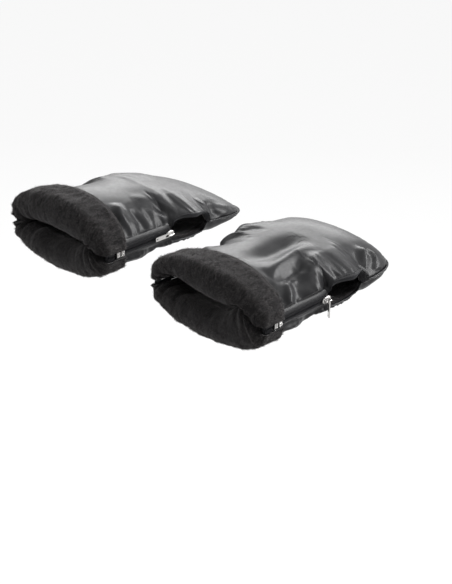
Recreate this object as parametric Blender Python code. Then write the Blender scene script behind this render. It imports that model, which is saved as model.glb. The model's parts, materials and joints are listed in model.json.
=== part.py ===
"""Pair of stroller hand muffs: padded leatherette bags with turned-out plush cuffs.

Each muff wraps the crossbar of a stroller. Its top panel lies over the bar, and its
bottom panel is a flap that two side zips close from below. The frame is metres: +X
along the bar to the user's right, +Y from the cuffs to the closed ends, +Z up, with
the origin on the bar's axis midway between the muffs.
"""
import math
from collections import namedtuple

import bmesh
import bpy
from mathutils import Matrix, Vector

# The pair on its bar
MUFF_SPACING = 0.225
BAR_DIAMETER = 0.038

# Outer face of one muff, measured from the bar's axis
HALF_WIDTH = 0.074
MUFF_LENGTH = 0.2072
NOSE_Y = 0.091
SEAM_Z = -0.005
SEAM_PART = 0.00075
CROWN_RISE = 0.0345
CROWN_RISE_AT_MOUTH = 0.033
BELLY_DROP = 0.0285
BELLY_DROP_AT_MOUTH = 0.027
NOSE_CORNER = 0.026
TIP_INSET = 0.0006

# How square the sections are: 2 is an ellipse, and more is nearer to a box
CROWN_SQUARE_SHARE = 2.1
CROWN_SQUARE_OVER_BAR_SHARE = 3.4
BELLY_SQUARE_SHARE = 2.1
BELLY_SQUARE_UNDER_BAR_SHARE = 3.0
CORNER_SQUARE_SHARE = 1.5

# Bar passage through the sides, from the zip slider to the sewn front
OPENING_REAR_Y = -0.022
OPENING_FRONT_Y = 0.031
PASSAGE_CLEARANCE = 0.002
PASSAGE_ROUND_SHARE = 0.42
PASSAGE_BLEND = 0.04
PASSAGE_FLARE = 0.016
FLARE_SHARE = 3
BINDING_WIDTH = 0.0014
BINDING_GAP = 0.0006

# Padded stack, from the shell's outer face inwards
CLEARANCE = 0.0003
SHELL = 0.0012
WADDING = 0.0035
WADDING_AT_EDGE = 0.0006
LINING = 0.0035
LINING_AT_EDGE = 0.0024
TAPER_WIDTH = 0.020
HEM = 0.003

# Cuff, turned outwards over the shell
TURN_ROOM = 0.002
CUFF_RUN_TOP = 0.032
CUFF_RUN_SIDE = 0.0225

# Side zips, as heights above or below the seam line
ZIP_PARTING = 0.0006
TEETH_WIDTH = 0.0024
TEETH_THICKNESS = 0.0018
TAPE_THICKNESS = 0.0008
PADDING_SETBACK = 0.006
SHELL_SETBACK = 0.010

# Zip slider and its bail
SLIDER_LENGTH = 0.012
SLIDER_HEIGHT = 0.0078
SLIDER_PLATE = 0.001
SLIDER_PLAY = 0.0004
SLIDER_WEB = 0.0006
SLIDER_WEB_LENGTH = 0.0016
SLIDER_LEAD = 0.002
BAIL_WIRE = 0.001
BAIL_SPAN = 0.009
BAIL_ROOM = 0.0027

# Pull tab, with a window that the bail passes through
PULL_LENGTH = 0.020
PULL_WIDTH = 0.0048
PULL_THICKNESS = 0.0012
PULL_EYE_BAR = 0.0009
PULL_WINDOW_LENGTH = 0.0044
PULL_WINDOW_WIDTH = 0.0031
PULL_HOLE = 0.0018
PULL_CORNER = 0.0009
HANG_TWIST = math.radians(-35)

# Zip box on the top panel and pin on the flap, at the cuff's edge
BOX_LENGTH = 0.0056
PIN_LENGTH = 0.0058
BOX_HEIGHT = 0.006
BOX_THICKNESS = 0.0032
BOX_PART = 0.0005
BOX_BEVEL = 0.0005

# Welt round the closed end
WELT_RADIUS = 0.0008
WELT_STAND = 0.0014

# Facets
PANEL_COLUMNS = 4
LIP_STEPS = 4
WELT_STEPS = 8
CORNER_STEPS = 3
HOLE_STEPS = 8
EDGE_ANGLE = math.radians(50)
TINY = 0.00002
OVERRUN = 0.0004

# Rows along a panel, as shares of the stretch that each belongs to
NOSE_ROW_SHARES = (0, 0.08, 0.22, 0.42, 0.7)
PASSAGE_ROW_SHARES = (0.09, 0.32, 0.58, 0.84)
SLEEVE_ROW_SHARES = (0.36, 0.76)
CUFF_ROW_SHARES = (0.5, 1.0)

MOUTH_Y = NOSE_Y - MUFF_LENGTH
FOLD_ROOM = TURN_ROOM / 2
NOSE_LENGTH = NOSE_Y - OPENING_FRONT_Y
PASSAGE_RADIUS = BAR_DIAMETER / 2 + PASSAGE_CLEARANCE
PASSAGE_MIDDLE_Y = (OPENING_REAR_Y + OPENING_FRONT_Y) / 2
CUFF_EDGE_Y = MOUTH_Y + CUFF_RUN_SIDE
TEETH_FAR = ZIP_PARTING + TEETH_WIDTH
SLIDER_Y = OPENING_REAR_Y + SLIDER_LEAD - SLIDER_LENGTH / 2
TEETH_END_SHARE = 1 - (BOX_LENGTH + BOX_PART + PIN_LENGTH + CLEARANCE) / CUFF_RUN_SIDE

Half = namedtuple("Half", "sign rise rise_at_mouth square square_at_bar binding")
Row = namedtuple("Row", "along turn back")
Holder = namedtuple("Holder", "collection parent location")

TOP = Half(1, CROWN_RISE - SEAM_PART, CROWN_RISE_AT_MOUTH - SEAM_PART,
           CROWN_SQUARE_SHARE, CROWN_SQUARE_OVER_BAR_SHARE, BINDING_WIDTH + BINDING_GAP)
BOTTOM = Half(-1, BELLY_DROP - SEAM_PART, BELLY_DROP_AT_MOUTH - SEAM_PART,
              BELLY_SQUARE_SHARE, BELLY_SQUARE_UNDER_BAR_SHARE, 0)

FLAP_AXIS = Vector((0, OPENING_FRONT_Y, SEAM_Z - BELLY_DROP))


def smooth(value):
    """Ease from 0 to 1."""
    value = min(max(value, 0), 1)
    return value * value * (3 - 2 * value)


def mix(start, end, share):
    """Value at a share of the way from start to end."""
    return start + (end - start) * share


# Outer face

def nose_angle(along):
    """Angle round the closed end: 0 where it starts, a right angle at its seam."""
    return max(along - OPENING_FRONT_Y, 0) / NOSE_LENGTH * math.pi / 2


def section_rise(half, along):
    """Height of the outer face over the seam at a place along the muff."""
    towards_bar = smooth((along - MOUTH_Y) / (OPENING_FRONT_Y - MOUTH_Y))
    return mix(half.rise_at_mouth, half.rise, towards_bar) * math.cos(nose_angle(along))


def squareness(half, along):
    """Power of the section's outline, squarer where it spans the bar."""
    near_bar = smooth(1 - abs(along - PASSAGE_MIDDLE_Y) / PASSAGE_BLEND)
    return mix(half.square, half.square_at_bar, near_bar)


def in_passage(along):
    return OPENING_REAR_Y < along < OPENING_FRONT_Y


def flare(half, along, across):
    """How far the top panel stands out sideways where its edge lies over the bar."""
    if half.sign < 0 or not in_passage(along):
        return 0
    share = (along - OPENING_REAR_Y) / (OPENING_FRONT_Y - OPENING_REAR_Y)
    return PASSAGE_FLARE * math.sin(math.pi * share) ** FLARE_SHARE * across ** FLARE_SHARE


def outer_point(half, along, angle):
    """Point of the outer face: angle 0 is the middle, a right angle the seam."""
    turn = nose_angle(along)
    inset = NOSE_CORNER * (1 - math.cos(turn)) ** CORNER_SQUARE_SHARE
    power = squareness(half, along)
    across, up = math.sin(angle), math.cos(angle)
    norm = (abs(across) ** power + abs(up) ** power) ** (1 / power)
    across, up = across / norm, up / norm
    x = (HALF_WIDTH - inset) * across + math.copysign(flare(half, along, across), across)
    y = min(along, OPENING_FRONT_Y) + NOSE_LENGTH * math.sin(turn)
    height = SEAM_PART + section_rise(half, along) * up
    return Vector((x, y, SEAM_Z + half.sign * height))


def outer_normal(half, along, angle):
    """Outward direction of the outer face, at the tip that of a place just before it."""
    along = min(along, NOSE_Y - TIP_INSET)
    slope = outer_point(half, along + TINY, angle) - outer_point(half, along - TINY, angle)
    step = TINY / HALF_WIDTH
    sweep = outer_point(half, along, angle + step) - outer_point(half, along, angle - step)
    return half.sign * sweep.cross(slope).normalized()


def angle_at(half, along, height):
    """Section angle at which the outer face is this high over the seam."""
    along = min(along, OPENING_FRONT_Y)
    power = squareness(half, along)
    share = min(max(height - SEAM_PART, 0) / section_rise(half, along), 1)
    return math.atan2((1 - share ** power) ** (1 / power), share)


def passage_height(half, along):
    """Height over the seam of the bar passage's edge."""
    share = (along - OPENING_REAR_Y) / (OPENING_FRONT_Y - OPENING_REAR_Y)
    reach = PASSAGE_RADIUS - half.sign * SEAM_Z
    rise = math.sin(math.pi * share) ** PASSAGE_ROUND_SHARE
    return mix(PADDING_SETBACK, reach, rise)


def panel_angle(half, along, setback, hem=0):
    """Section angle of a panel's side edge, or of a line a hem's width inside it."""
    if in_passage(along):
        return angle_at(half, along, passage_height(half, along) + half.binding + hem)
    if along < OPENING_FRONT_Y:
        return angle_at(half, along, setback + hem)
    return angle_at(half, along, SEAM_PART + hem)


# Places in the padded stack

def cuff_run(angle):
    """Length of the turned-out cuff, shorter at the zips than in the middle."""
    return mix(CUFF_RUN_TOP, CUFF_RUN_SIDE, math.sin(angle) ** 2)


def fullness(half, along, angle):
    """How full the padding is: 0 at zips, passage and nose seam, 1 in the middle."""
    edge = panel_angle(half, along, PADDING_SETBACK)
    from_side = (edge - abs(angle)) * HALF_WIDTH * math.cos(nose_angle(along))
    to_tip = NOSE_Y - outer_point(half, along, angle).y
    from_nose = math.hypot(to_tip, section_rise(half, along))
    return smooth(min(from_side, from_nose) / TAPER_WIDTH)


def place(half, row, angle, depth):
    """Point at a depth under the outer face, carried round the turned-out lip."""
    along = row.along + row.back * cuff_run(angle)
    radius = depth + FOLD_ROOM
    lift = outer_normal(half, along, angle) * (FOLD_ROOM - radius * math.cos(row.turn))
    return outer_point(half, along, angle) + lift + Vector((0, -radius * math.sin(row.turn), 0))


def shell_depths(full):
    return 0, SHELL


def wadding_depths(full):
    top = SHELL + CLEARANCE
    return top, top + mix(WADDING_AT_EDGE, WADDING, full)


def lining_depths(full):
    top = wadding_depths(full)[1] + CLEARANCE
    return top, top + mix(LINING_AT_EDGE, LINING, full)


def binding_depths(full):
    return 0, lining_depths(full)[1]


def tape_depths(full):
    return 0, TAPE_THICKNESS


def teeth_depths(full):
    outer = (TAPE_THICKNESS - TEETH_THICKNESS) / 2
    return outer, outer + TEETH_THICKNESS


# Rows along the muff

def flat_rows(start, end, shares):
    """Rows at shares of the way between two places."""
    return [Row(mix(start, end, share), 0, 0) for share in shares]


def nose_rows():
    """Rows of the closed end, from its seam back to the bar passage."""
    return flat_rows(NOSE_Y, OPENING_FRONT_Y, NOSE_ROW_SHARES)


def passage_rows():
    """Rows beside the bar passage, from front to rear."""
    return flat_rows(OPENING_FRONT_Y, OPENING_REAR_Y, PASSAGE_ROW_SHARES)


def sleeve_rows(cuff_shares=CUFF_ROW_SHARES):
    """Rows from the bar passage back to the mouth, round the lip and along the cuff."""
    rows = flat_rows(OPENING_REAR_Y, CUFF_EDGE_Y, (0, *SLEEVE_ROW_SHARES, 1))
    rows += [Row(MOUTH_Y, math.pi * step / LIP_STEPS, 0) for step in range(LIP_STEPS + 1)]
    return rows + [Row(MOUTH_Y, math.pi, share) for share in cuff_shares]


# Meshes and objects

def clear_scene():
    for thing in list(bpy.data.objects):
        bpy.data.objects.remove(thing, do_unlink=True)


def make_collection(name):
    collection = bpy.data.collections.new(name)
    bpy.context.scene.collection.children.link(collection)
    return collection


def make_material(name, colour, roughness, metallic=0.0):
    material = bpy.data.materials.new(name)
    material.use_nodes = True
    shader = material.node_tree.nodes["Principled BSDF"]
    shader.inputs["Base Color"].default_value = (*colour, 1)
    shader.inputs["Roughness"].default_value = roughness
    shader.inputs["Metallic"].default_value = metallic
    return material


def make_empty(name, collection, parent, location):
    empty = bpy.data.objects.new(name, None)
    empty.location = location
    empty.parent = parent
    collection.objects.link(empty)
    return empty


def add_part(name, mesh, holder, material):
    """Node made from a mesh that lies in its holder's own frame."""
    part = bpy.data.objects.new(name, mesh)
    part.parent = holder.parent
    part.location = holder.location
    holder.collection.objects.link(part)
    if not mesh.materials:
        mesh.materials.append(material)
    return part


def mesh_from(name, fill):
    """Mesh filled by a function that works on a bmesh."""
    work = bmesh.new()
    fill(work)
    mesh = bpy.data.meshes.new(name)
    work.to_mesh(mesh)
    work.free()
    return mesh


def evaluated_mesh(thing):
    """Mesh of an object with its modifiers applied; the object is removed."""
    graph = bpy.context.evaluated_depsgraph_get()
    mesh = bpy.data.meshes.new_from_object(thing.evaluated_get(graph))
    bpy.data.objects.remove(thing, do_unlink=True)
    return mesh


def curve_mesh(curve):
    """Closed mesh of a curve, with its caps welded on."""
    guide = bpy.data.objects.new(curve.name, curve)
    bpy.context.scene.collection.objects.link(guide)
    mesh = evaluated_mesh(guide)
    work = bmesh.new()
    work.from_mesh(mesh)
    bmesh.ops.remove_doubles(work, verts=work.verts, dist=TINY)
    bmesh.ops.recalc_face_normals(work, faces=work.faces)
    work.to_mesh(mesh)
    work.free()
    return mesh


def add_spline(curve, points, cyclic):
    spline = curve.splines.new("POLY")
    spline.points.add(len(points) - 1)
    for target, point in zip(spline.points, points):
        target.co = (*point, 1)
    spline.use_cyclic_u = cyclic


def outline_mesh(name, outlines, thickness):
    """Flat solid from closed outlines in the XY plane, the later ones as holes."""
    curve = bpy.data.curves.new(name, "CURVE")
    curve.dimensions = "2D"
    curve.fill_mode = "BOTH"
    curve.extrude = thickness / 2
    for outline in outlines:
        add_spline(curve, [(x, y, 0) for x, y in outline], True)
    return curve_mesh(curve)


def arc(centre, radius, start, end, steps):
    """Points of an arc in the XY plane."""
    angles = [mix(start, end, step / steps) for step in range(steps + 1)]
    return [(centre[0] + radius * math.cos(a), centre[1] + radius * math.sin(a)) for a in angles]


def rounded_rectangle(low, high, radius):
    """Outline with rounded corners between two corner points."""
    centres = ((high[0] - radius, high[1] - radius), (low[0] + radius, high[1] - radius),
               (low[0] + radius, low[1] + radius), (high[0] - radius, low[1] + radius))
    points = []
    for quarter, centre in enumerate(centres):
        start = quarter * math.pi / 2
        points += arc(centre, radius, start, start + math.pi / 2, CORNER_STEPS)
    return points


def block(work, size, centre):
    """Box of a size about a centre."""
    shape = Matrix.Translation(centre) @ Matrix.Diagonal((*size, 1))
    bmesh.ops.create_cube(work, size=1, matrix=shape)


def slab_mesh(name, side, half, rows, columns_of, depths_of):
    """Closed slab of one layer: a grid laid at its outer depth, extruded to its inner."""
    count = len(columns_of(rows[0])) - 1

    def fill(work):
        bmesh.ops.create_grid(work, x_segments=count, y_segments=len(rows) - 1, size=1)
        bmesh.ops.triangulate(work, faces=work.faces, quad_method="FIXED")
        grid = [*work.verts, *work.edges, *work.faces]
        extruded = bmesh.ops.extrude_face_region(work, geom=grid, use_keep_orig=True)
        inner = set(extruded["geom"])
        for vertex in work.verts:
            row = rows[round((1 - vertex.co.y) / 2 * (len(rows) - 1))]
            angle = columns_of(row)[round((vertex.co.x + 1) / 2 * count)]
            along = row.along + row.back * cuff_run(angle)
            depths = depths_of(fullness(half, along, angle))
            spot = place(half, row, angle, depths[vertex in inner])
            vertex.co = (side * spot.x, spot.y, spot.z)
        bmesh.ops.recalc_face_normals(work, faces=work.faces)
        if work.calc_volume(signed=True) < 0:
            bmesh.ops.reverse_faces(work, faces=work.faces)

    mesh = mesh_from(name, fill)
    mesh.shade_smooth()
    mesh.set_sharp_from_angle(angle=EDGE_ANGLE)
    return mesh


# Padded panels

def panel_columns(half, setback):
    """Columns of a panel: shared by all layers inside, the layer's own edges outside."""
    def columns_of(row):
        core = panel_angle(half, row.along, SHELL_SETBACK, HEM)
        edge = panel_angle(half, row.along, setback)
        shell_edge = panel_angle(half, row.along, SHELL_SETBACK)
        beside = mix(core, edge, 0.5) if edge == shell_edge else shell_edge
        right = [core * step / PANEL_COLUMNS for step in range(PANEL_COLUMNS + 1)]
        right += [beside, edge]
        return [-angle for angle in reversed(right[1:])] + right
    return columns_of


def add_panels(prefix, muff, flap, materials):
    """Shell, wadding and lining of the top panel, the closed end and the flap."""
    front = Row(OPENING_FRONT_Y, 0, 0)
    flap_front = Row(OPENING_FRONT_Y - CLEARANCE, 0, 0)
    behind = passage_rows() + sleeve_rows()
    groups = (("top", TOP, nose_rows(), [front] + behind, muff),
              ("pocket", BOTTOM, nose_rows(), [front], muff),
              ("flap", BOTTOM, [], [flap_front] + behind, flap))
    layers = (("shell", SHELL_SETBACK, 0, shell_depths, materials["leatherette"]),
              ("wadding", PADDING_SETBACK, 1, wadding_depths, materials["wadding"]),
              ("lining", PADDING_SETBACK, 1, lining_depths, materials["plush"]))
    for group, half, nose, rest, holder in groups:
        for layer, setback, short_of_seam, depths_of, material in layers:
            name = f"{prefix}_{group}_{layer}"
            rows = nose[short_of_seam:] + rest
            mesh = slab_mesh(name, 1, half, rows, panel_columns(half, setback), depths_of)
            add_part(name, mesh, holder, material)


def add_welt(prefix, muff, materials):
    """Round welt along the nose seam, from one end of the bar passage to the other."""
    curve = bpy.data.curves.new("welt", "CURVE")
    curve.dimensions = "3D"
    curve.bevel_depth = WELT_RADIUS
    curve.bevel_resolution = 1
    curve.use_fill_caps = True
    right = []
    for step in range(WELT_STEPS + 1):
        along = mix(OPENING_FRONT_Y, NOSE_Y, step / WELT_STEPS)
        out = outer_normal(TOP, along, math.pi / 2)
        spot = outer_point(TOP, along, math.pi / 2) + WELT_STAND * out
        right.append(Vector((spot.x, spot.y, SEAM_Z)))
    left = [Vector((-point.x, point.y, point.z)) for point in reversed(right)]
    add_spline(curve, right + left, False)
    add_part(f"{prefix}_nose_welt", curve_mesh(curve), muff, materials["leatherette"])


# Side zips

def strip_columns(half, near, far):
    """Columns of a strip between two heights over the seam."""
    def columns_of(row):
        return [angle_at(half, row.along, far), angle_at(half, row.along, near)]
    return columns_of


def binding_columns(half):
    """Columns of the binding along the edge of the bar passage."""
    def columns_of(row):
        edge = passage_height(half, row.along)
        return [angle_at(half, row.along, edge + BINDING_WIDTH), angle_at(half, row.along, edge)]
    return columns_of


def add_strip(name, side, half, rows, columns_of, depths_of, holder, material):
    """Narrow layer along one side of the muff."""
    mesh = slab_mesh(name, side, half, rows, columns_of, depths_of)
    add_part(name, mesh, holder, material)


def add_strips(prefix, place_name, side, muff, flap, materials):
    """Zip tapes and teeth of one side, and the binding over the bar passage."""
    for group, half, holder in (("top", TOP, muff), ("flap", BOTTOM, flap)):
        tape = strip_columns(half, TEETH_FAR + CLEARANCE, SHELL_SETBACK - CLEARANCE)
        add_strip(f"{prefix}_{group}_zip_tape_{place_name}", side, half, sleeve_rows(),
                  tape, tape_depths, holder, materials["tape"])
        teeth = strip_columns(half, ZIP_PARTING, TEETH_FAR)
        add_strip(f"{prefix}_{group}_zip_teeth_{place_name}", side, half,
                  sleeve_rows([TEETH_END_SHARE]), teeth, teeth_depths, holder,
                  materials["coil"])
    add_strip(f"{prefix}_passage_binding_{place_name}", side, TOP, passage_rows(),
              binding_columns(TOP), binding_depths, muff, materials["binding"])


def slider_mesh(side, cutters):
    """Slider: two plates joined by a web at the open end, with a bail outside."""
    reach = TEETH_THICKNESS / 2 + SLIDER_PLAY + SLIDER_PLATE / 2
    plate = (SLIDER_PLATE, SLIDER_LENGTH, SLIDER_HEIGHT)
    web = (2 * reach, SLIDER_WEB_LENGTH, SLIDER_WEB)
    web_y = (SLIDER_LENGTH - SLIDER_WEB_LENGTH) / 2
    foot = side * (reach + SLIDER_PLATE / 2 - OVERRUN)
    bail = bail_mesh()
    bail.transform(Matrix(((0, side, 0, foot), (1, 0, 0, 0), (0, 0, 1, 0), (0, 0, 0, 1))))
    if side > 0:
        bail.flip_normals()
    pieces = (mesh_from("inner_plate", lambda work: block(work, plate, (-side * reach, 0, 0))),
              mesh_from("web", lambda work: block(work, web, (0, web_y, 0))), bail)
    outer = mesh_from("slider", lambda work: block(work, plate, (side * reach, 0, 0)))
    body = bpy.data.objects.new("slider", outer)
    cutters.objects.link(body)
    for piece in pieces:
        cutter = bpy.data.objects.new(piece.name, piece)
        cutter.hide_render = True
        cutter.display_type = "WIRE"
        cutters.objects.link(cutter)
        union = body.modifiers.new(piece.name, "BOOLEAN")
        union.operation = "UNION"
        union.object = cutter
    return evaluated_mesh(body)


def bail_mesh():
    """Arch over the slider's outer plate, in the XY plane with its feet at y = 0."""
    rise = OVERRUN + BAIL_ROOM + BAIL_WIRE
    outer = BAIL_SPAN / 2
    inner = outer - BAIL_WIRE
    under = rise - BAIL_WIRE
    bend = BAIL_WIRE / 2
    points = [(outer, 0), (outer, rise - bend), (outer - bend, rise), (bend - outer, rise),
              (-outer, rise - bend), (-outer, 0), (-inner, 0), (-inner, under),
              (inner, under), (inner, 0)]
    return outline_mesh("bail", [points], BAIL_WIRE)


def pull_mesh(shift):
    """Pull tab in the XY plane, its eye bar at y = shift and its free end towards -Y."""
    half = PULL_WIDTH / 2
    top = shift + PULL_EYE_BAR / 2
    body = rounded_rectangle((-half, top - PULL_LENGTH), (half, top), PULL_CORNER)
    eye = PULL_WINDOW_WIDTH / 2
    window_top = top - PULL_EYE_BAR
    window = rounded_rectangle((-eye, window_top - PULL_WINDOW_LENGTH), (eye, window_top),
                               PULL_CORNER / 2)
    hole_centre = (0, top - PULL_LENGTH + half)
    hole = arc(hole_centre, PULL_HOLE / 2, 0, math.tau, HOLE_STEPS)[:-1]
    return outline_mesh("pull", [body, window, hole], PULL_THICKNESS)


def add_slider(prefix, place_name, side, pull_hangs, muff, cutters, materials):
    """Slider on one zip, and its pull: hanging from the bail, or laid along the zip."""
    slider = add_part(f"{prefix}_zip_slider_{place_name}", slider_mesh(side, cutters), muff,
                      materials["metal"])
    slider.location = (side * (HALF_WIDTH - TAPE_THICKNESS / 2), SLIDER_Y, SEAM_Z)
    plate_face = TEETH_THICKNESS / 2 + SLIDER_PLAY + SLIDER_PLATE
    if pull_hangs:
        shift = (BAIL_WIRE + PULL_EYE_BAR) / 2 + CLEARANCE
        pivot = (side * (plate_face + BAIL_ROOM + BAIL_WIRE / 2), 0, 0)
        turn = Matrix.Rotation(side * HANG_TWIST, 3, "Z") @ Matrix.Rotation(math.pi / 2, 3, "X")
    else:
        shift = 0
        eye_y = -BAIL_SPAN / 2 + BAIL_WIRE + CLEARANCE + PULL_EYE_BAR / 2
        pivot = (side * (plate_face + CLEARANCE + PULL_THICKNESS / 2), eye_y, 0)
        turn = Matrix.Rotation(math.pi / 2, 3, "Y")
    mesh = pull_mesh(shift)
    mesh.transform(turn.to_4x4())
    add_part(f"{prefix}_zip_pull_{place_name}", mesh,
             Holder(muff.collection, slider, pivot), materials["metal"])


def add_zip_end(name, side, y, length, holder, materials):
    """Metal block across both rows of teeth, where the turned-out zip ends."""
    x = side * (HALF_WIDTH + TURN_ROOM + TAPE_THICKNESS / 2)

    def fill(work):
        block(work, (BOX_THICKNESS, length, BOX_HEIGHT), (x, y, SEAM_Z))
        bmesh.ops.bevel(work, geom=work.edges[:], offset=BOX_BEVEL, segments=1, affect="EDGES")

    add_part(name, mesh_from(name, fill), holder, materials["metal"])


def add_zip(prefix, place_name, side, pull_hangs, muff, flap, cutters, materials):
    """One side zip from the bar passage, round the lip, to the cuff's edge."""
    add_strips(prefix, place_name, side, muff, flap, materials)
    add_slider(prefix, place_name, side, pull_hangs, muff, cutters, materials)
    box_y = CUFF_EDGE_Y - BOX_LENGTH / 2
    pin_y = CUFF_EDGE_Y - BOX_LENGTH - BOX_PART - PIN_LENGTH / 2
    add_zip_end(f"{prefix}_zip_box_{place_name}", side, box_y, BOX_LENGTH, muff, materials)
    add_zip_end(f"{prefix}_zip_pin_{place_name}", side, pin_y, PIN_LENGTH, flap, materials)


def main():
    clear_scene()
    collection = make_collection("stroller_hand_muffs")
    cutters = make_collection("cutters")
    materials = {
        "leatherette": make_material("leatherette", (0.018, 0.018, 0.02), 0.38),
        "plush": make_material("plush", (0.05, 0.048, 0.05), 0.95),
        "wadding": make_material("wadding", (0.8, 0.8, 0.78), 0.95),
        "tape": make_material("zip_tape", (0.03, 0.03, 0.033), 0.8),
        "coil": make_material("zip_coil", (0.02, 0.02, 0.022), 0.45),
        "binding": make_material("binding", (0.02, 0.02, 0.022), 0.7),
        "metal": make_material("nickel", (0.75, 0.75, 0.76), 0.22, 1.0),
    }
    for prefix, muff_side, pull_hangs in (("left", -1, False), ("right", 1, True)):
        place_x = muff_side * MUFF_SPACING / 2
        body = make_empty(f"{prefix}_muff", collection, None, (place_x, 0, 0))
        hinge = make_empty(f"{prefix}_flap_hinge", collection, body, FLAP_AXIS)
        muff = Holder(collection, body, Vector())
        flap = Holder(collection, hinge, -FLAP_AXIS)
        add_panels(prefix, muff, flap, materials)
        add_welt(prefix, muff, materials)
        for place_name, side in (("outer", muff_side), ("inner", -muff_side)):
            add_zip(prefix, place_name, side, pull_hangs, muff, flap, cutters, materials)


main()
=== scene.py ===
"""Looks of the pair of hand muffs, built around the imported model.

The soft pieces repeat the model's surface formulas at a fine step and add what fabric
does: folds, gathers, a swollen cuff and its pile. Zips, seams and metal follow the same
surfaces. The frame is metres, as in the model.
"""

import json
import math
from collections import namedtuple

import bmesh
import bpy
import numpy as np
from mathutils import Matrix, Vector, noise

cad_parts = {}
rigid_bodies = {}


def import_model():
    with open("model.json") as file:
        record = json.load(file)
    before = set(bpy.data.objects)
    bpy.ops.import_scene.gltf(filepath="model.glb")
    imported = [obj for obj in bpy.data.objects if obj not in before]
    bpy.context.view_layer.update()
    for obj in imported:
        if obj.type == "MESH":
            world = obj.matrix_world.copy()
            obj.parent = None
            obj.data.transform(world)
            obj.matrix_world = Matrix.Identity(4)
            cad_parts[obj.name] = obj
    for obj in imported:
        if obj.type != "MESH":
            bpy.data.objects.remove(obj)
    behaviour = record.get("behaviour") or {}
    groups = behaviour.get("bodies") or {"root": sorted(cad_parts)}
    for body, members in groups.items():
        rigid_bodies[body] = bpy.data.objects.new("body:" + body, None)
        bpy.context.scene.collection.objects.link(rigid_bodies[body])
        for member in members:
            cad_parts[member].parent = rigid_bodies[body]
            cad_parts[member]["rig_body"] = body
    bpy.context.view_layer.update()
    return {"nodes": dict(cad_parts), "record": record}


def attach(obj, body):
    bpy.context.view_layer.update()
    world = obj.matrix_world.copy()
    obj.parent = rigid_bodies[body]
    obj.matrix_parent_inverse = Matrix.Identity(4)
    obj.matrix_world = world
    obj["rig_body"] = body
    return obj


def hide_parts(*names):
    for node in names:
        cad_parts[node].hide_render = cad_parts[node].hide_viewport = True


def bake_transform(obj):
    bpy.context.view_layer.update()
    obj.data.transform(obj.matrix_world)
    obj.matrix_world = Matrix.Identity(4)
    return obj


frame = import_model()

# Outer face of one muff, as in the model
MUFF_SPACING = 0.225
BAR_DIAMETER = 0.038
HALF_WIDTH = 0.074
MUFF_LENGTH = 0.2072
NOSE_Y = 0.091
SEAM_Z = -0.005
SEAM_PART = 0.00075
CROWN_RISE = 0.0345
CROWN_RISE_AT_MOUTH = 0.033
BELLY_DROP = 0.0285
BELLY_DROP_AT_MOUTH = 0.027
NOSE_CORNER = 0.026
TIP_INSET = 0.0006
CROWN_SQUARE_SHARE = 2.1
CROWN_SQUARE_OVER_BAR_SHARE = 3.4
BELLY_SQUARE_SHARE = 2.1
BELLY_SQUARE_UNDER_BAR_SHARE = 3.0
CORNER_SQUARE_SHARE = 1.5

# Side passages, as in the model
OPENING_REAR_Y = -0.022
OPENING_FRONT_Y = 0.031
PASSAGE_CLEARANCE = 0.002
PASSAGE_ROUND_SHARE = 0.42
PASSAGE_BLEND = 0.04
PASSAGE_FLARE = 0.016
FLARE_SHARE = 3
BINDING_WIDTH = 0.0014
BINDING_GAP = 0.0006

# Padded stack, cuff and zips, as in the model
CLEARANCE = 0.0003
SHELL = 0.0012
WADDING = 0.0035
WADDING_AT_EDGE = 0.0006
LINING = 0.0035
LINING_AT_EDGE = 0.0024
TAPER_WIDTH = 0.020
TURN_ROOM = 0.002
CUFF_RUN_TOP = 0.032
CUFF_RUN_SIDE = 0.0225
ZIP_PARTING = 0.0006
TEETH_WIDTH = 0.0024
TEETH_THICKNESS = 0.0018
TAPE_THICKNESS = 0.0008
PADDING_SETBACK = 0.006
SHELL_SETBACK = 0.010
HEM_SETBACK = 0.0046
BOX_LENGTH = 0.0056
BOX_PART = 0.0005
PIN_LENGTH = 0.0058
WELT_RADIUS = 0.0011
WELT_STAND = 0.0014
SLIDER_LENGTH = 0.012
SLIDER_HEIGHT = 0.0078
SLIDER_PLATE = 0.001
SLIDER_PLAY = 0.0004
SLIDER_WEB = 0.0006
SLIDER_WEB_LENGTH = 0.0016
SLIDER_LEAD = 0.002
BAIL_WIRE = 0.001
BAIL_SPAN = 0.009
BAIL_ROOM = 0.0027

MOUTH_Y = NOSE_Y - MUFF_LENGTH
FOLD_ROOM = TURN_ROOM / 2
NOSE_LENGTH = NOSE_Y - OPENING_FRONT_Y
PASSAGE_RADIUS = BAR_DIAMETER / 2 + PASSAGE_CLEARANCE
PASSAGE_MIDDLE_Y = (OPENING_REAR_Y + OPENING_FRONT_Y) / 2
CUFF_EDGE_Y = MOUTH_Y + CUFF_RUN_SIDE
TEETH_FAR = ZIP_PARTING + TEETH_WIDTH
TEETH_END_SHARE = 1 - (BOX_LENGTH + BOX_PART + PIN_LENGTH + CLEARANCE) / CUFF_RUN_SIDE
SLIDER_Y = OPENING_REAR_Y + SLIDER_LEAD - SLIDER_LENGTH / 2

# Steps of the fine surfaces
GRID_STEP = 0.0014
LIP_STEPS = 26
NOSE_STEPS = 44
NOSE_CROWDING = 1.3
CUFF_STEPS = 22
PAD_COLUMNS = 150
PLUSH_COLUMNS = 130
COLUMN_CROWDING = 0.92
SLEEVE_STEP = 0.0012
SLEEVE_CUFF_STEPS = 16
TAPE_ROWS = 5
EDGE_EASE = 0.004
TINY = 0.00002

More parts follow.
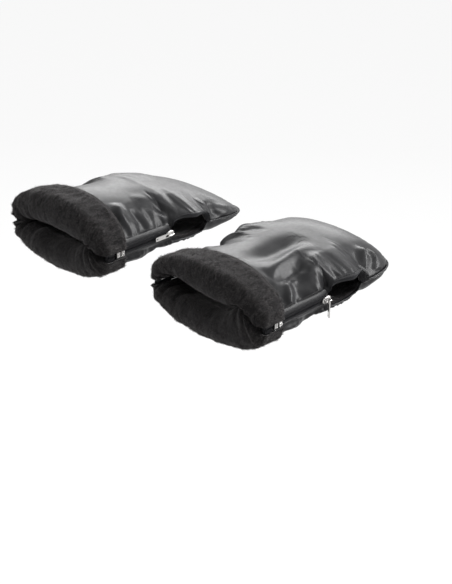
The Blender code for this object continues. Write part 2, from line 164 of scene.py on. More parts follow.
# Cloth simulation of the padded panels, run at ten times the size
CLOTH_SCALE = 10
CLOTH_STEP = 0.0036
CLOTH_FRAMES = 22
CLOTH_SPARE = 0.045
CLOTH_PRESSURE = 1.5
CLOTH_CAP = 0.0016
CLOTH_FULL_SHARE = 0.25
CLOTH_BROAD_PASSES = 30
CLOTH_LENGTH_SHARE = 1.2
CLOTH_ACROSS = 0.2
CLOTH_SETTINGS = {"quality": 6, "mass": 0.3, "tension_stiffness": 25, "compression_stiffness": 25,
                  "shear_stiffness": 12, "bending_stiffness": 1.2, "vertex_group_mass": "pins",
                  "use_pressure": True, "uniform_pressure_force": CLOTH_PRESSURE,
                  "shrink_min": -CLOTH_SPARE}

# How far the noise moves on from one seed to the next
NOISE_SHIFT = (3.7, 1.9, 5.3)

# Leather's unevenness, its deepest hollow, and how its relief eases out at the sewn edges
UNEVEN_FINE = 0.00012
UNEVEN_FINE_SCALE = 70
UNEVEN_BROAD = 0.0006
UNEVEN_BROAD_SCALE = 22
HOLLOW_DEPTH = 0.0040
SWELL_SIDE = 0.006
SWELL_SIDE_SHARE = 0.15
SWELL_NOSE = 0.012
GATHER_EASE = 0.0015
GATHER_SIDE_SHIFT = 1.7

# Folds: steps between two points of a path, and how they run out
PATH_STEPS = 12
FOLD_OPEN_SHARE = 0.8
FOLD_FADE_SHARE = 0.4

# Cuff: its plush swells into the mouth, and hardly outwards
LIP_SETBACK = 0.0036
LIP_SETBACK_RUN = 0.018
MOUTH_SWELL_TOP = 0.0135
MOUTH_SWELL_BOTTOM = 0.0160
MOUTH_SWELL_DEPTH = 0.045
MOUTH_SWELL_EDGE = 0.005
MOUTH_ROUND_SHARE = 3
CUFF_OUT_TOP = 0.0003
CUFF_OUT_BOTTOM = -0.0018
CUFF_LUMP = 0.0012
CUFF_LUMP_SCALE = 55
CUFF_HEM_PARTS = 4
CUFF_HEM_THICKNESS = 0.0016
PLUSH_LEAST = 0.0012
CREASE_LIP_SHARE = 0.25
TUFT_HEIGHT = 0.0009
TUFT_INSIDE_SHARE = 0.3
TUFT_SCALE = (210, 90, 210)
PILE_LENGTH = 0.0036
PILE_LENGTH_SHARES = (0.55, 1.1)
PILE_WIDTH = 0.0003
PILE_COUNT = 20000
PILE_REACH = 0.030
PILE_MARGIN = 0.01
PILE_FIRST_COLUMN = 0.3
PILE_LAST_COLUMNS = 1.31
PILE_ALONG = 0.8
PILE_OUT = 0.65
PILE_LEAN = 0.6
PILE_CLUMP_SCALE = 130
PILE_STRAY = 0.22
PILE_TILT = 0.01
HAIR_POINTS = ((1, -0.6, -0.05), (-1, -0.6, -0.05), (0, 1.1, -0.05), (0, 0, 1))
HAIR_FACES = ((0, 2, 1), (0, 1, 3), (1, 2, 3), (2, 0, 3))

# Top panel's edges over the side passages: on its right side and, as BEHIND, on its left
DRAPE_OUT = 0.0160
DRAPE_OUT_BEHIND = {1: 0, -1: -0.0075}
DRAPE_DROP = 0.0075
DRAPE_DROP_BEHIND = 0.0015
DRAPE_SHARE = 0.34
DRAPE_ROUND_SHARE = 0.45

# Left muff: its closed end lies longer, flatter and lower, and its rear a little higher
SETTLE_START_Y = -0.010
NOSE_STRETCH = 0.011
SETTLE_POWER_SHARE = 1.5
SETTLE_DROP = 0.0130
NOSE_SLACK_SHARE = 0.48
SHOULDER_SLACK_SHARE = 0.14
REAR_LIFT_SHARE = 0.10
REAR_LIFT_EASE = 0.06

# Zip teeth, stitches, bindings and welt
TOOTH_PITCH = 0.0016
TOOTH_LENGTH = 0.0007
TOOTH_REACH = 0.0004
TOOTH_OFFSET_SHARES = {1: 0.75, -1: 0.25}
TOOTH_SHARP_ANGLE = math.radians(40)
TOOTH_POINTS = ((-1, -0.8, 0), (1, -0.8, 0), (1, 0.8, 0), (-1, 0.8, 0),
                (-1, -1, 0.55), (1, -1, 0.55), (1, 1, 0.55), (-1, 1, 0.55),
                (-0.6, -0.7, 1), (0.6, -0.7, 1), (0.6, 0.7, 1), (-0.6, 0.7, 1))
STITCH_LENGTH = 0.0021
STITCH_PITCH = 0.0031
STITCH_RADIUS = 0.00024
STITCH_STAND_SHARE = 0.5
STITCH_COLUMN = 3
STITCH_END_ROWS = 18
STITCH_SIDES = 6
STITCH_RINGS = ((0.35, -1), (1, -0.7), (1, 0.7), (0.35, 1))
BINDING_FLAT_SHARE = 0.8
BINDING_SIDES = 14
WELT_STEPS = 130
WELT_SIDES = 10
WELT_PUCKER = 0.00025
WELT_PUCKER_TURN = 1.1

# Metal: softened edges, grooves of the zips' ends, and the slider's rounded plates
METAL_BEVEL = 0.00015
METAL_BEVEL_STEPS = 3
METAL_SHARP_ANGLE = math.radians(35)
PLATE_SIDES = 36
PLATE_LEVELS = ((-0.5, 0.9), (-0.25, 1), (0.25, 1), (0.5, 0.9))
BAIL_SIDES = 12
BAIL_BEND_STEPS = 7
RIB_COUNT = 3
GROOVE_DEPTH = 0.0006
PLATE_OVAL_SHARE = 0.62
PLATE_TAPER_SHARE = 0.3
PLATE_WEB_LEAD = 0.0004
BAIL_BEND = 0.001

Half = namedtuple("Half", "sign rise rise_at_mouth square square_at_bar binding")
Rows = namedtuple("Rows", "along turn back")
Fold = namedtuple("Fold", "height width path")
Crease = namedtuple("Crease", "turn width depth")
Bump = namedtuple("Bump", "place width height")
Gather = namedtuple("Gather", "rate waver waver_rate reach height")

# Puckers along the sides and round the nose: how close they are, how they waver, how far
# they run in, and how high they stand
SIDE_GATHERS = Gather(720, 1.8, 190, 0.007, 0.0007)
NOSE_GATHERS = Gather(34, 2.2, 9, 0.008, 0.0005)

TOP = Half(1, CROWN_RISE - SEAM_PART, CROWN_RISE_AT_MOUTH - SEAM_PART,
           CROWN_SQUARE_SHARE, CROWN_SQUARE_OVER_BAR_SHARE, BINDING_WIDTH + BINDING_GAP)
BOTTOM = Half(-1, BELLY_DROP - SEAM_PART, BELLY_DROP_AT_MOUTH - SEAM_PART,
              BELLY_SQUARE_SHARE, BELLY_SQUARE_UNDER_BAR_SHARE, 0)

# Folds of the top panels: height, width, and a path of (share of the length from the
# mouth, share of the way from the middle to the zip; negative on the left)
RIGHT_TOP_FOLDS = (
    Fold(0.0052, 0.0058, ((0.28, 0.46), (0.21, 0.68), (0.15, 0.94))),
    Fold(0.0088, 0.0112, ((0.55, 0.28), (0.45, 0.50), (0.375, 0.72), (0.30, 0.96))),
    Fold(-0.0078, 0.0080, ((0.59, 0.44), (0.505, 0.66), (0.435, 0.94))),
    Fold(0.0048, 0.0048, ((0.62, 0.52), (0.54, 0.72), (0.48, 0.94))),
    Fold(-0.0050, 0.0120, ((0.18, 0.06), (0.42, 0.08), (0.66, 0.04))),
    Fold(0.0040, 0.0080, ((0.14, 0.36), (0.39, 0.26), (0.62, 0.20))),
    Fold(-0.0036, 0.0072, ((0.18, 0.50), (0.32, 0.43), (0.45, 0.43))),
    Fold(0.0074, 0.0052, ((0.79, 0.46), (0.745, 0.64), (0.70, 0.84))),
    Fold(-0.0070, 0.0056, ((0.83, 0.52), (0.79, 0.68), (0.75, 0.90))),
    Fold(0.0030, 0.0060, ((0.24, -0.45), (0.30, -0.70), (0.33, -0.90))),
    Fold(-0.0030, 0.0055, ((0.34, -0.42), (0.38, -0.66), (0.40, -0.88))),
    Fold(0.0034, 0.0050, ((0.50, -0.36), (0.46, -0.62), (0.44, -0.88))),
    Fold(-0.0040, 0.0046, ((0.75, -0.55), (0.73, -0.88))),
    Fold(0.0034, 0.0046, ((0.72, -0.50), (0.69, -0.80))),
)
LEFT_TOP_FOLDS = (
    Fold(0.0036, 0.0180, ((0.48, -0.20), (0.62, -0.18), (0.76, -0.20))),
    Fold(0.0048, 0.0062, ((0.25, 0.26), (0.20, 0.45), (0.17, 0.66))),
    Fold(0.0026, 0.0085, ((0.33, 0.30), (0.44, 0.38), (0.54, 0.52))),
    Fold(-0.0044, 0.0080, ((0.27, 0.40), (0.29, 0.62), (0.26, 0.84))),
    Fold(-0.0026, 0.0070, ((0.40, 0.50), (0.52, 0.66))),
    Fold(0.0050, 0.0050, ((0.73, 0.46), (0.71, 0.68), (0.715, 0.82))),
    Fold(-0.0056, 0.0052, ((0.76, 0.54), (0.74, 0.70), (0.745, 0.88))),
    Fold(0.0024, 0.0080, ((0.82, 0.60), (0.80, 0.86))),
    Fold(0.0032, 0.0055, ((0.52, -0.34), (0.44, -0.60), (0.40, -0.90))),
    Fold(-0.0034, 0.0055, ((0.44, -0.40), (0.36, -0.66), (0.32, -0.88))),
    Fold(0.0030, 0.0060, ((0.30, -0.44), (0.24, -0.70), (0.20, -0.90))),
    Fold(-0.0038, 0.0050, ((0.75, -0.52), (0.73, -0.88))),
    Fold(0.0034, 0.0046, ((0.72, -0.48), (0.69, -0.80))),
)
UNDER_FOLDS = (
    Fold(0.0040, 0.0160, ((0.02, 0.62), (0.26, 0.60), (0.54, 0.56))),
    Fold(0.0018, 0.0070, ((0.16, 0.90), (0.24, 0.72), (0.34, 0.52))),
    Fold(-0.0016, 0.0060, ((0.26, 0.90), (0.36, 0.70))),
    Fold(0.0016, 0.0070, ((0.40, 0.90), (0.47, 0.70), (0.55, 0.50))),
    Fold(-0.0026, 0.0060, ((0.70, 0.88), (0.72, 0.60), (0.71, 0.40))),
    Fold(0.0028, 0.0052, ((0.20, -0.90), (0.28, -0.68), (0.40, -0.50))),
    Fold(-0.0026, 0.0050, ((0.30, -0.88), (0.42, -0.66))),
    Fold(0.0028, 0.0050, ((0.42, -0.90), (0.50, -0.66))),
    Fold(-0.0034, 0.0050, ((0.70, -0.88), (0.72, -0.60), (0.71, -0.40))),
    Fold(-0.0020, 0.0080, ((0.55, 0.25), (0.52, -0.25))),
)

# Creases of the plush that run out of the mouth's corners: share of the way from the
# middle to the zip, width as a share of a right angle, and depth
MOUTH_CREASES = (Crease(0.80, 0.05, 0.0024), Crease(0.66, 0.04, 0.0030), Crease(0.50, 0.035, 0.0020),
                 Crease(-0.82, 0.05, 0.0040), Crease(-0.62, 0.045, 0.0032), Crease(-0.38, 0.04, 0.0018))

# Mouth of each muff: where its slit lies above the zips, and where it stands open. Each is a
# bump with its place and width as shares of the half width, then its height or share.
MOUTH_LIFTS = {1: (Bump(0.68, 0.24, 0.0150), Bump(-0.62, 0.36, 0.0070)),
               -1: (Bump(0.70, 0.22, 0.0060), Bump(-0.60, 0.30, 0.0010))}
MOUTH_GAPS = {1: Bump(-0.80, 0.50, 0.72), -1: Bump(-0.85, 0.30, 0.25)}
MOUTH_LIFT_REACH = 0.028
MOUTH_LIFT_EASE_SHARE = 0.15


def smooth(value):
    value = np.clip(value, 0, 1)
    return value * value * (3 - 2 * value)


def mix(start, end, share):
    return start + (end - start) * share


# Outer face, as in the model but on whole arrays

def nose_angle(along):
    return np.maximum(along - OPENING_FRONT_Y, 0) / NOSE_LENGTH * math.pi / 2


def section_rise(half, along):
    towards_bar = smooth((along - MOUTH_Y) / (OPENING_FRONT_Y - MOUTH_Y))
    return mix(half.rise_at_mouth, half.rise, towards_bar) * np.cos(nose_angle(along))


def squareness(half, along):
    near_bar = smooth(1 - np.abs(along - PASSAGE_MIDDLE_Y) / PASSAGE_BLEND)
    return mix(half.square, half.square_at_bar, near_bar)


def passage_share(along):
    """Share of the way through the side passage, 0 and 1 outside it."""
    return np.clip((along - OPENING_REAR_Y) / (OPENING_FRONT_Y - OPENING_REAR_Y), 0, 1)


def outer_points(half, along, angle):
    """Points of the outer face: angle 0 is the middle, a right angle the seam."""
    turn = nose_angle(along)
    inset = NOSE_CORNER * (1 - np.cos(turn)) ** CORNER_SQUARE_SHARE
    power = squareness(half, along)
    across, up = np.sin(angle), np.cos(angle)
    norm = (np.abs(across) ** power + np.abs(up) ** power) ** (1 / power)
    across, up = across / norm, up / norm
    x = (HALF_WIDTH - inset) * across
    if half.sign > 0:
        arch = np.sin(math.pi * passage_share(along)) ** FLARE_SHARE
        x = x + PASSAGE_FLARE * arch * across ** FLARE_SHARE
    y = np.minimum(along, OPENING_FRONT_Y) + NOSE_LENGTH * np.sin(turn)
    height = SEAM_PART + section_rise(half, along) * up
    return np.stack(np.broadcast_arrays(x, y, SEAM_Z + half.sign * height), axis=-1)


def outer_normals(half, along, angle):
    along = np.minimum(along, NOSE_Y - TIP_INSET)
    slope = outer_points(half, along + TINY, angle) - outer_points(half, along - TINY, angle)
    step = TINY / HALF_WIDTH
    sweep = outer_points(half, along, angle + step) - outer_points(half, along, angle - step)
    out = half.sign * np.cross(sweep, slope)
    return out / np.linalg.norm(out, axis=-1, keepdims=True)


def angle_at(half, along, height):
    along = np.minimum(along, OPENING_FRONT_Y)
    power = squareness(half, along)
    share = np.clip(np.maximum(height - SEAM_PART, 0) / section_rise(half, along), 0, 1)
    return np.arctan2((1 - share ** power) ** (1 / power), share)


def passage_height(half, along):
    reach = PASSAGE_RADIUS - half.sign * SEAM_Z
    rise = np.sin(math.pi * passage_share(along)) ** PASSAGE_ROUND_SHARE
    return mix(PADDING_SETBACK, reach, rise)


def edge_angle(half, along, setback):
    """Angle of a panel's side edge: along the zip, over the side passage, then the seam."""
    over_bar = passage_height(half, along) + half.binding
    behind = smooth((OPENING_REAR_Y - along) / EDGE_EASE + 0.5)
    ahead = smooth((along - OPENING_FRONT_Y) / EDGE_EASE + 1)
    height = mix(mix(over_bar, setback, behind), SEAM_PART, ahead)
    return angle_at(half, along, height)


def cuff_run(angle):
    return mix(CUFF_RUN_TOP, CUFF_RUN_SIDE, np.sin(angle) ** 2)


def fullness(half, along, angle):
    edge = edge_angle(half, along, PADDING_SETBACK)
    from_side = (edge - np.abs(angle)) * HALF_WIDTH * np.cos(nose_angle(along))
    to_tip = NOSE_Y - outer_points(half, along, angle)[..., 1]
    from_nose = np.hypot(to_tip, section_rise(half, along))
    return smooth(np.minimum(from_side, from_nose) / TAPER_WIDTH)


def place(half, rows, angle, depth):
    """Points at a depth under the outer face, carried round the turned-out lip."""
    along = rows.along + rows.back * cuff_run(angle)
    radius = depth + FOLD_ROOM
    lift = FOLD_ROOM - radius * np.cos(rows.turn)
    spots = outer_points(half, along, angle)
    spots = spots + outer_normals(half, along, angle) * lift[..., None]
    spots[..., 1] -= radius * np.sin(rows.turn)
    return spots


def drape(half, muff_side, spots, along, across):
    """Moves the top panel's edges sideways and down over the side passages."""
    if half.sign > 0:
        arch = np.sin(math.pi * passage_share(along)) ** DRAPE_ROUND_SHARE
        reach = smooth((np.abs(across) - 1 + DRAPE_SHARE) / DRAPE_SHARE) * arch
        out = np.where(across > 0, DRAPE_OUT, DRAPE_OUT_BEHIND[muff_side])
        drop = np.where(across > 0, DRAPE_DROP, DRAPE_DROP_BEHIND)
        spots[..., 0] += np.sign(across) * out * reach
        spots[..., 2] -= drop * reach
    return spots


def settle(muff_side, spots):
    """Lays the left muff's closed end longer, flatter and lower, and its rear higher."""
    if muff_side < 0:
        along = spots[..., 1].copy()
        share = np.clip((along - SETTLE_START_Y) / (NOSE_Y - SETTLE_START_Y), 0, 1)
        lift = REAR_LIFT_SHARE * smooth((SETTLE_START_Y - along) / REAR_LIFT_EASE)
        height = np.maximum(spots[..., 2] - SEAM_Z, 0)
        behind = smooth(-spots[..., 0] / HALF_WIDTH) * smooth((along - CUFF_EDGE_Y) / REAR_LIFT_EASE)
        spots[..., 2] += (lift - NOSE_SLACK_SHARE * share - SHOULDER_SLACK_SHARE * behind) * height
        spots[..., 2] -= SETTLE_DROP * share ** SETTLE_POWER_SHARE
        spots[..., 1] += NOSE_STRETCH * share ** SETTLE_POWER_SHARE
    return spots


# Rows and columns of the fine surfaces

def body_rows():
    """Rows from the nose seam back to the mouth, closer together round the nose."""
    round_nose = NOSE_Y - NOSE_LENGTH * np.linspace(0, 1, NOSE_STEPS)[:-1] ** NOSE_CROWDING
    straight = np.linspace(OPENING_FRONT_Y, MOUTH_Y, int((OPENING_FRONT_Y - MOUTH_Y) / GRID_STEP))
    along = np.concatenate([round_nose, straight])
    flat = np.zeros_like(along)
    return Rows(along, flat, flat)


def cuff_rows(shares):
    """Rows round the lip and along the turned-out cuff."""
    turn = np.concatenate([np.linspace(0, math.pi, LIP_STEPS + 1)[1:], np.full(len(shares), math.pi)])
    back = np.concatenate([np.zeros(LIP_STEPS), shares])
    return Rows(np.full(len(turn), MOUTH_Y), turn, back)


def join_rows(*parts):
    """Rows of several stretches, as columns of a grid."""
    return Rows(*(np.concatenate(values)[:, None] for values in zip(*parts)))


def whole_rows():
    """Rows from the nose seam to the mouth, round the lip and along the cuff."""
    return join_rows(body_rows(), cuff_rows(np.linspace(0, 1, CUFF_STEPS)[1:]))


def columns(half, rows, setback, count):
    """Angles across a panel, from its left edge to its right."""
    across = np.linspace(-1, 1, count)[None, :]
    return edge_angle(half, rows.along, setback) * np.sign(across) * np.abs(across) ** COLUMN_CROWDING


# Relief of the leather

def path_points(half, path):
    """Fine points of a fold's path on the outer face, with its corners rounded."""
    along = np.array([MOUTH_Y + share * MUFF_LENGTH for share, turn in path])
    angle = np.array([turn * math.pi / 2 for share, turn in path])
    fine = np.linspace(0, len(path) - 1, PATH_STEPS * len(path))
    index = np.arange(len(path))
    rounding = np.ones(PATH_STEPS) / PATH_STEPS
    along, angle = (np.convolve(np.pad(np.interp(fine, index, values), PATH_STEPS, mode="edge"),
                                rounding, mode="same")[PATH_STEPS:-PATH_STEPS]
                    for values in (along, angle))
    return outer_points(half, along, angle)


def path_strength(path, count):
    """Share of a fold's height along its path: it runs out, except where it meets a zip."""
    run = np.linspace(0, 1, count)
    ends = np.ones(count)
    for turn, distance in ((path[0][1], run), (path[-1][1], 1 - run)):
        if abs(turn) < FOLD_OPEN_SHARE:
            ends *= smooth(distance / FOLD_FADE_SHARE)
    return ends


def fold_relief(half, spots, folds):
    """Height of all folds at each spot."""
    relief = np.zeros(spots.shape[:-1])
    for fold in folds:
        line = path_points(half, fold.path)
        gaps = np.array([np.linalg.norm(spots - point, axis=-1) for point in line])
        strength = path_strength(fold.path, len(line))[np.argmin(gaps, axis=0)]
        relief += fold.height * strength * np.exp(-(np.min(gaps, axis=0) / fold.width) ** 2)
    return relief


def noise_field(spots, scale, seed):
    """Smooth noise from -1 to 1 at each spot."""
    shift = Vector([seed * value for value in NOISE_SHIFT])
    flat = spots.reshape(-1, 3) * scale
    values = [noise.noise(Vector(spot) + shift) for spot in flat]
    return np.array(values).reshape(spots.shape[:-1])


def puckers(gather, run, shift, from_edge, seed):
    """Height of one row of puckers that run in from an edge."""
    wave = np.sin(run * gather.rate + shift + gather.waver * np.sin(run * gather.waver_rate + seed))
    return gather.height * (wave * np.exp(-from_edge / gather.reach) * smooth(from_edge / GATHER_EASE))


def gathers(half, along, angle, seed):
    """Small puckers that run in from the zips, the passages and the nose seam."""
    edge = edge_angle(half, along, SHELL_SETBACK)
    from_side = (edge - np.abs(angle)) * HALF_WIDTH
    from_nose = NOSE_Y - outer_points(half, along, angle)[..., 1]
    return (puckers(SIDE_GATHERS, along, np.sign(angle) * GATHER_SIDE_SHIFT, from_side, seed)
            + puckers(NOSE_GATHERS, angle, 0, from_nose, seed))


def swell(half, along, angle):
    """Share of full relief: none at the edges, where the leather is sewn down."""
    edge = edge_angle(half, along, SHELL_SETBACK)
    from_side = (edge - np.abs(angle)) * HALF_WIDTH * np.cos(nose_angle(along))
    from_nose = NOSE_Y - outer_points(half, along, angle)[..., 1]
    return smooth(from_side / SWELL_SIDE + SWELL_SIDE_SHARE) * smooth(from_nose / SWELL_NOSE)


# Cloth

def simulate(spots, pinned):
    """Movement of a grid of points once it is cut a little large, pinned at its edges and blown up."""
    rows, count = spots.shape[:2]
    mesh = bpy.data.meshes.new("cloth_trial")
    mesh.from_pydata(spots.reshape(-1, 3) * CLOTH_SCALE, [], grid_faces(rows, count).tolist())
    trial = new_object("cloth_trial", mesh)
    pins = trial.vertex_groups.new(name="pins")
    for index, weight in enumerate(pinned.ravel()):
        pins.add([index], float(weight), "REPLACE")
    modifier = trial.modifiers.new("cloth", "CLOTH")
    for name, value in CLOTH_SETTINGS.items():
        setattr(modifier.settings, name, value)
    modifier.settings.effector_weights.gravity = 0
    modifier.collision_settings.use_collision = False
    modifier.point_cache.frame_end = CLOTH_FRAMES
    scene = bpy.context.scene
    for step in range(1, CLOTH_FRAMES + 1):
        scene.frame_set(step)
    moved = trial.evaluated_get(bpy.context.evaluated_depsgraph_get()).data
    result = np.array([vertex.co for vertex in moved.vertices]) / CLOTH_SCALE
    bpy.data.objects.remove(trial, do_unlink=True)
    scene.frame_set(1)
    return result.reshape(spots.shape) - spots


def coarse_places(count, reach):
    """Places among a fine grid's lines that the cloth's coarser grid takes."""
    return np.linspace(0, count - 1, int(reach / CLOTH_STEP)).round().astype(int)


def cloth_relief(half, along, angle, folds):
    """Wrinkles of the simulated panel, with a little of its fullness, at the fine grid's places."""
    rows = coarse_places(along.shape[0], MUFF_LENGTH * CLOTH_LENGTH_SHARE)
    picks = coarse_places(angle.shape[1], CLOTH_ACROSS)
    coarse_along = np.broadcast_to(along, angle.shape)[np.ix_(rows, picks)]
    coarse_angle = angle[np.ix_(rows, picks)]
    spots = outer_points(half, coarse_along, coarse_angle)
    out = outer_normals(half, coarse_along, coarse_angle)
    start = fold_relief(half, spots, folds) * swell(half, coarse_along, coarse_angle)
    pinned = np.zeros(coarse_along.shape)
    pinned[:1], pinned[-1:], pinned[:, :1], pinned[:, -1:] = 1, 1, 1, 1
    moved = simulate(spots + out * start[..., None], pinned)
    height = np.sum(moved * out, axis=-1)
    height -= (1 - CLOTH_FULL_SHARE) * soften(height, CLOTH_BROAD_PASSES)
    height = np.clip(height, -CLOTH_CAP, CLOTH_CAP)
    across_first = np.array([np.interp(np.arange(angle.shape[1]), picks, line) for line in height])
    fine = [np.interp(np.arange(along.shape[0]), rows, column) for column in across_first.T]
    return soften(np.array(fine).T)


def soften(field, passes=3):
    """Field with its facets smoothed away."""
    for _ in range(passes):
        padded = np.pad(field, 1, mode="edge")
        field = (padded[:-2, 1:-1] + padded[2:, 1:-1] + padded[1:-1, :-2] + padded[1:-1, 2:]
                 + 2 * field) / 6
    return field


# Meshes and objects

def grid_faces(rows, count, offset=0):
    index = np.arange(rows * count).reshape(rows, count) + offset
    corners = (index[:-1, :-1], index[1:, :-1], index[1:, 1:], index[:-1, 1:])
    return np.stack(corners, axis=-1).reshape(-1, 4)


def ring_faces(count, sides):
    """Faces of a tube through a count of rings, with its two ends."""
    index = np.arange(count * sides).reshape(count, sides)
    after = np.roll(index, -1, axis=1)
    walls = np.stack([index[:-1], index[1:], after[1:], after[:-1]], axis=-1).reshape(-1, 4)
    return [*walls.tolist(), index[0].tolist(), index[-1].tolist()]


def wall_faces(rings, count):
    """Faces between rings of a count of points, without the two ends."""
    return [[first + step, first + (step + 1) % count,
             first + count + (step + 1) % count, first + count + step]
            for first in range(0, (rings - 1) * count, count) for step in range(count)]


def outward(mesh):
    """Closed mesh with all its faces pointing out."""
    work = bmesh.new()
    work.from_mesh(mesh)
    bmesh.ops.recalc_face_normals(work, faces=work.faces)
    if work.calc_volume(signed=True) < 0:
        bmesh.ops.reverse_faces(work, faces=work.faces)
    work.to_mesh(mesh)
    work.free()
    return mesh


def closed_mesh(name, points, faces):
    """Smooth mesh with all its faces pointing out."""
    mesh = bpy.data.meshes.new(name)
    mesh.from_pydata(np.asarray(points).tolist(), [], [list(map(int, face)) for face in faces])
    outward(mesh).shade_smooth()
    return mesh


def slab_mesh(name, outer, inner):
    """Closed slab between two grids of points."""
    rows, count = outer.shape[:2]
    total = rows * count
    index = np.arange(total).reshape(rows, count)
    rim = np.concatenate([index[0, :-1], index[:-1, -1], index[-1, :0:-1], index[:0:-1, 0]])
    after = np.roll(rim, -1)
    walls = np.stack([rim, after, after + total, rim + total], axis=-1)
    faces = np.concatenate([grid_faces(rows, count), grid_faces(rows, count, total)[:, ::-1], walls])
    return closed_mesh(name, np.concatenate([outer.reshape(-1, 3), inner.reshape(-1, 3)]), faces)


def tube_shape(line, radius, sides):
    """Points and faces of a closed tube along a line of points."""
    ahead = unit(np.gradient(line, axis=0))
    side = unit(np.cross(ahead, (0, 0, 1.0)))
    up = np.cross(side, ahead)
    turn = np.linspace(0, math.tau, sides, endpoint=False)
    ring = side[:, None] * np.cos(turn)[None, :, None] + up[:, None] * np.sin(turn)[None, :, None]
    return (line[:, None] + radius * ring).reshape(-1, 3), ring_faces(len(line), sides)


def new_object(name, data):
    thing = bpy.data.objects.new(name, data)
    bpy.context.scene.collection.objects.link(thing)
    return thing


def add_piece(name, mesh, material):
    piece = new_object(name, mesh)
    mesh.materials.clear()
    mesh.materials.append(material)
    return piece


def at_muff(mesh, muff_side):
    """Mesh carried from a muff's own frame to its place in the pair."""
    mesh.transform(Matrix.Translation((muff_side * MUFF_SPACING / 2, 0, 0)))
    return mesh


def hang_flap(piece):
    """Bakes the place of a piece of the underside into its mesh."""
    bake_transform(piece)


# Soft pieces

def stack_depth(full):
    """Depth of the padding's inner face."""
    return SHELL + CLEARANCE + mix(WADDING_AT_EDGE, WADDING, full)


def laid(half, muff_side, rows, angle, depth, setback):
    """Points of a layer, draped over the side passages and settled as the muff is."""
    across = angle / edge_angle(half, rows.along, setback)
    spots = drape(half, muff_side, place(half, rows, angle, depth), rows.along + 0 * angle, across)
    return settle(muff_side, spots)


def add_pad(prefix, muff_side, group, half, folds, seed, material):
    """Leatherette with its wadding, and its outer points: one panel from nose seam to mouth."""
    rows = join_rows(body_rows())
    angle = columns(half, rows, HEM_SETBACK, PAD_COLUMNS)
    along = rows.along
    flat = outer_points(half, along, angle)
    held = swell(half, along, angle)
    relief = fold_relief(half, flat, folds) + cloth_relief(half, along, angle, folds)
    relief += (UNEVEN_FINE * noise_field(flat, UNEVEN_FINE_SCALE, seed)
               + UNEVEN_BROAD * noise_field(flat, UNEVEN_BROAD_SCALE, seed + 9))
    relief = relief * held + gathers(half, along, angle, seed)
    full = fullness(half, along, angle)
    relief = np.maximum(relief, -HOLLOW_DEPTH * full)
    outer = laid(half, muff_side, rows, angle, -relief, HEM_SETBACK)
    inner = laid(half, muff_side, rows, angle, stack_depth(full), HEM_SETBACK)
    piece = add_piece(f"{prefix}_{group}_pad", at_muff(slab_mesh("pad", outer, inner), muff_side),
                      material)
    return piece, outer


def bump_height(bump, across):
    return bump.height * np.exp(-((across - bump.place) / bump.width) ** 2)


def bend_mouth(muff_side, spots):
    """Lifts the slit between the cuff's two halves where the plush bunches up under it."""
    across = spots[..., 0] / HALF_WIDTH
    lift = sum(bump_height(bump, across) for bump in MOUTH_LIFTS[muff_side])
    near = smooth(1 - (spots[..., 1] - MOUTH_Y) / MOUTH_SWELL_DEPTH)
    level = smooth(1 - np.abs(spots[..., 2] - SEAM_Z) / MOUTH_LIFT_REACH)
    inside = smooth((1 - np.abs(across)) / MOUTH_LIFT_EASE_SHARE)
    spots[..., 2] += lift * near * level * inside
    return spots


def mouth_swell(half, muff_side, rows, angle):
    """How far the plush stands out of its plain thickness at the mouth and on the cuff."""
    into = MOUTH_SWELL_TOP if half.sign > 0 else MOUTH_SWELL_BOTTOM
    out = CUFF_OUT_TOP if half.sign > 0 else CUFF_OUT_BOTTOM
    behind_lip = smooth(1 - (rows.along - MOUTH_Y) / MOUTH_SWELL_DEPTH)
    inward = into * behind_lip * (1 - bump_height(MOUTH_GAPS[muff_side], np.sin(angle)))
    shape = ((1 + np.cos(rows.turn)) / 2) ** MOUTH_ROUND_SHARE
    turned = smooth(rows.turn / math.pi) * out
    creases = sum(crease.depth * np.exp(-((angle / (math.pi / 2) - crease.turn) / crease.width) ** 2)
                  for crease in MOUTH_CREASES)
    edge = edge_angle(half, np.minimum(rows.along, OPENING_REAR_Y), lip_setback(rows))
    held = smooth((edge - np.abs(angle)) * HALF_WIDTH / MOUTH_SWELL_EDGE)
    return (inward * shape + turned - creases * behind_lip * mix(CREASE_LIP_SHARE, 1, shape)) * held


def lip_setback(rows):
    """How far the plush keeps from the zip's middle: closer towards the lip and round it."""
    towards_lip = smooth(1 - (rows.along - MOUTH_Y) / LIP_SETBACK_RUN)
    return mix(PADDING_SETBACK, LIP_SETBACK, towards_lip)


def add_plush(prefix, muff_side, group, half, seed, material):
    """Plush lining turned out as half of the cuff, and its visible points and rows."""
    rows = whole_rows()
    setback = lip_setback(rows)
    angle = columns(half, rows, setback, PLUSH_COLUMNS)
    along = rows.along + rows.back * cuff_run(angle)
    full = fullness(half, np.minimum(along, NOSE_Y - TIP_INSET), angle)
    top = stack_depth(full) + CLEARANCE
    thick = mix(LINING_AT_EDGE, LINING, full)
    spots = place(half, rows, angle, top + thick)
    tufts = noise_field(spots * np.array(TUFT_SCALE), 1, seed + 4)
    on_cuff = smooth(rows.turn / (math.pi / 3))
    lumps = (CUFF_LUMP * noise_field(spots, CUFF_LUMP_SCALE, seed) * full
             + TUFT_HEIGHT * tufts * mix(TUFT_INSIDE_SHARE, 1, on_cuff))
    end = 1 - smooth(rows.back * CUFF_HEM_PARTS - (CUFF_HEM_PARTS - 1))
    thick = np.maximum(thick + mouth_swell(half, muff_side, rows, angle) + lumps, PLUSH_LEAST)
    thick = mix(CUFF_HEM_THICKNESS, thick, end)
    outer = bend_mouth(muff_side, laid(half, muff_side, rows, angle, top, setback))
    shown = bend_mouth(muff_side, laid(half, muff_side, rows, angle, top + thick, setback))
    piece = add_piece(f"{prefix}_{group}_plush", at_muff(slab_mesh("plush", outer, shown), muff_side),
                      material)
    return piece, shown, rows


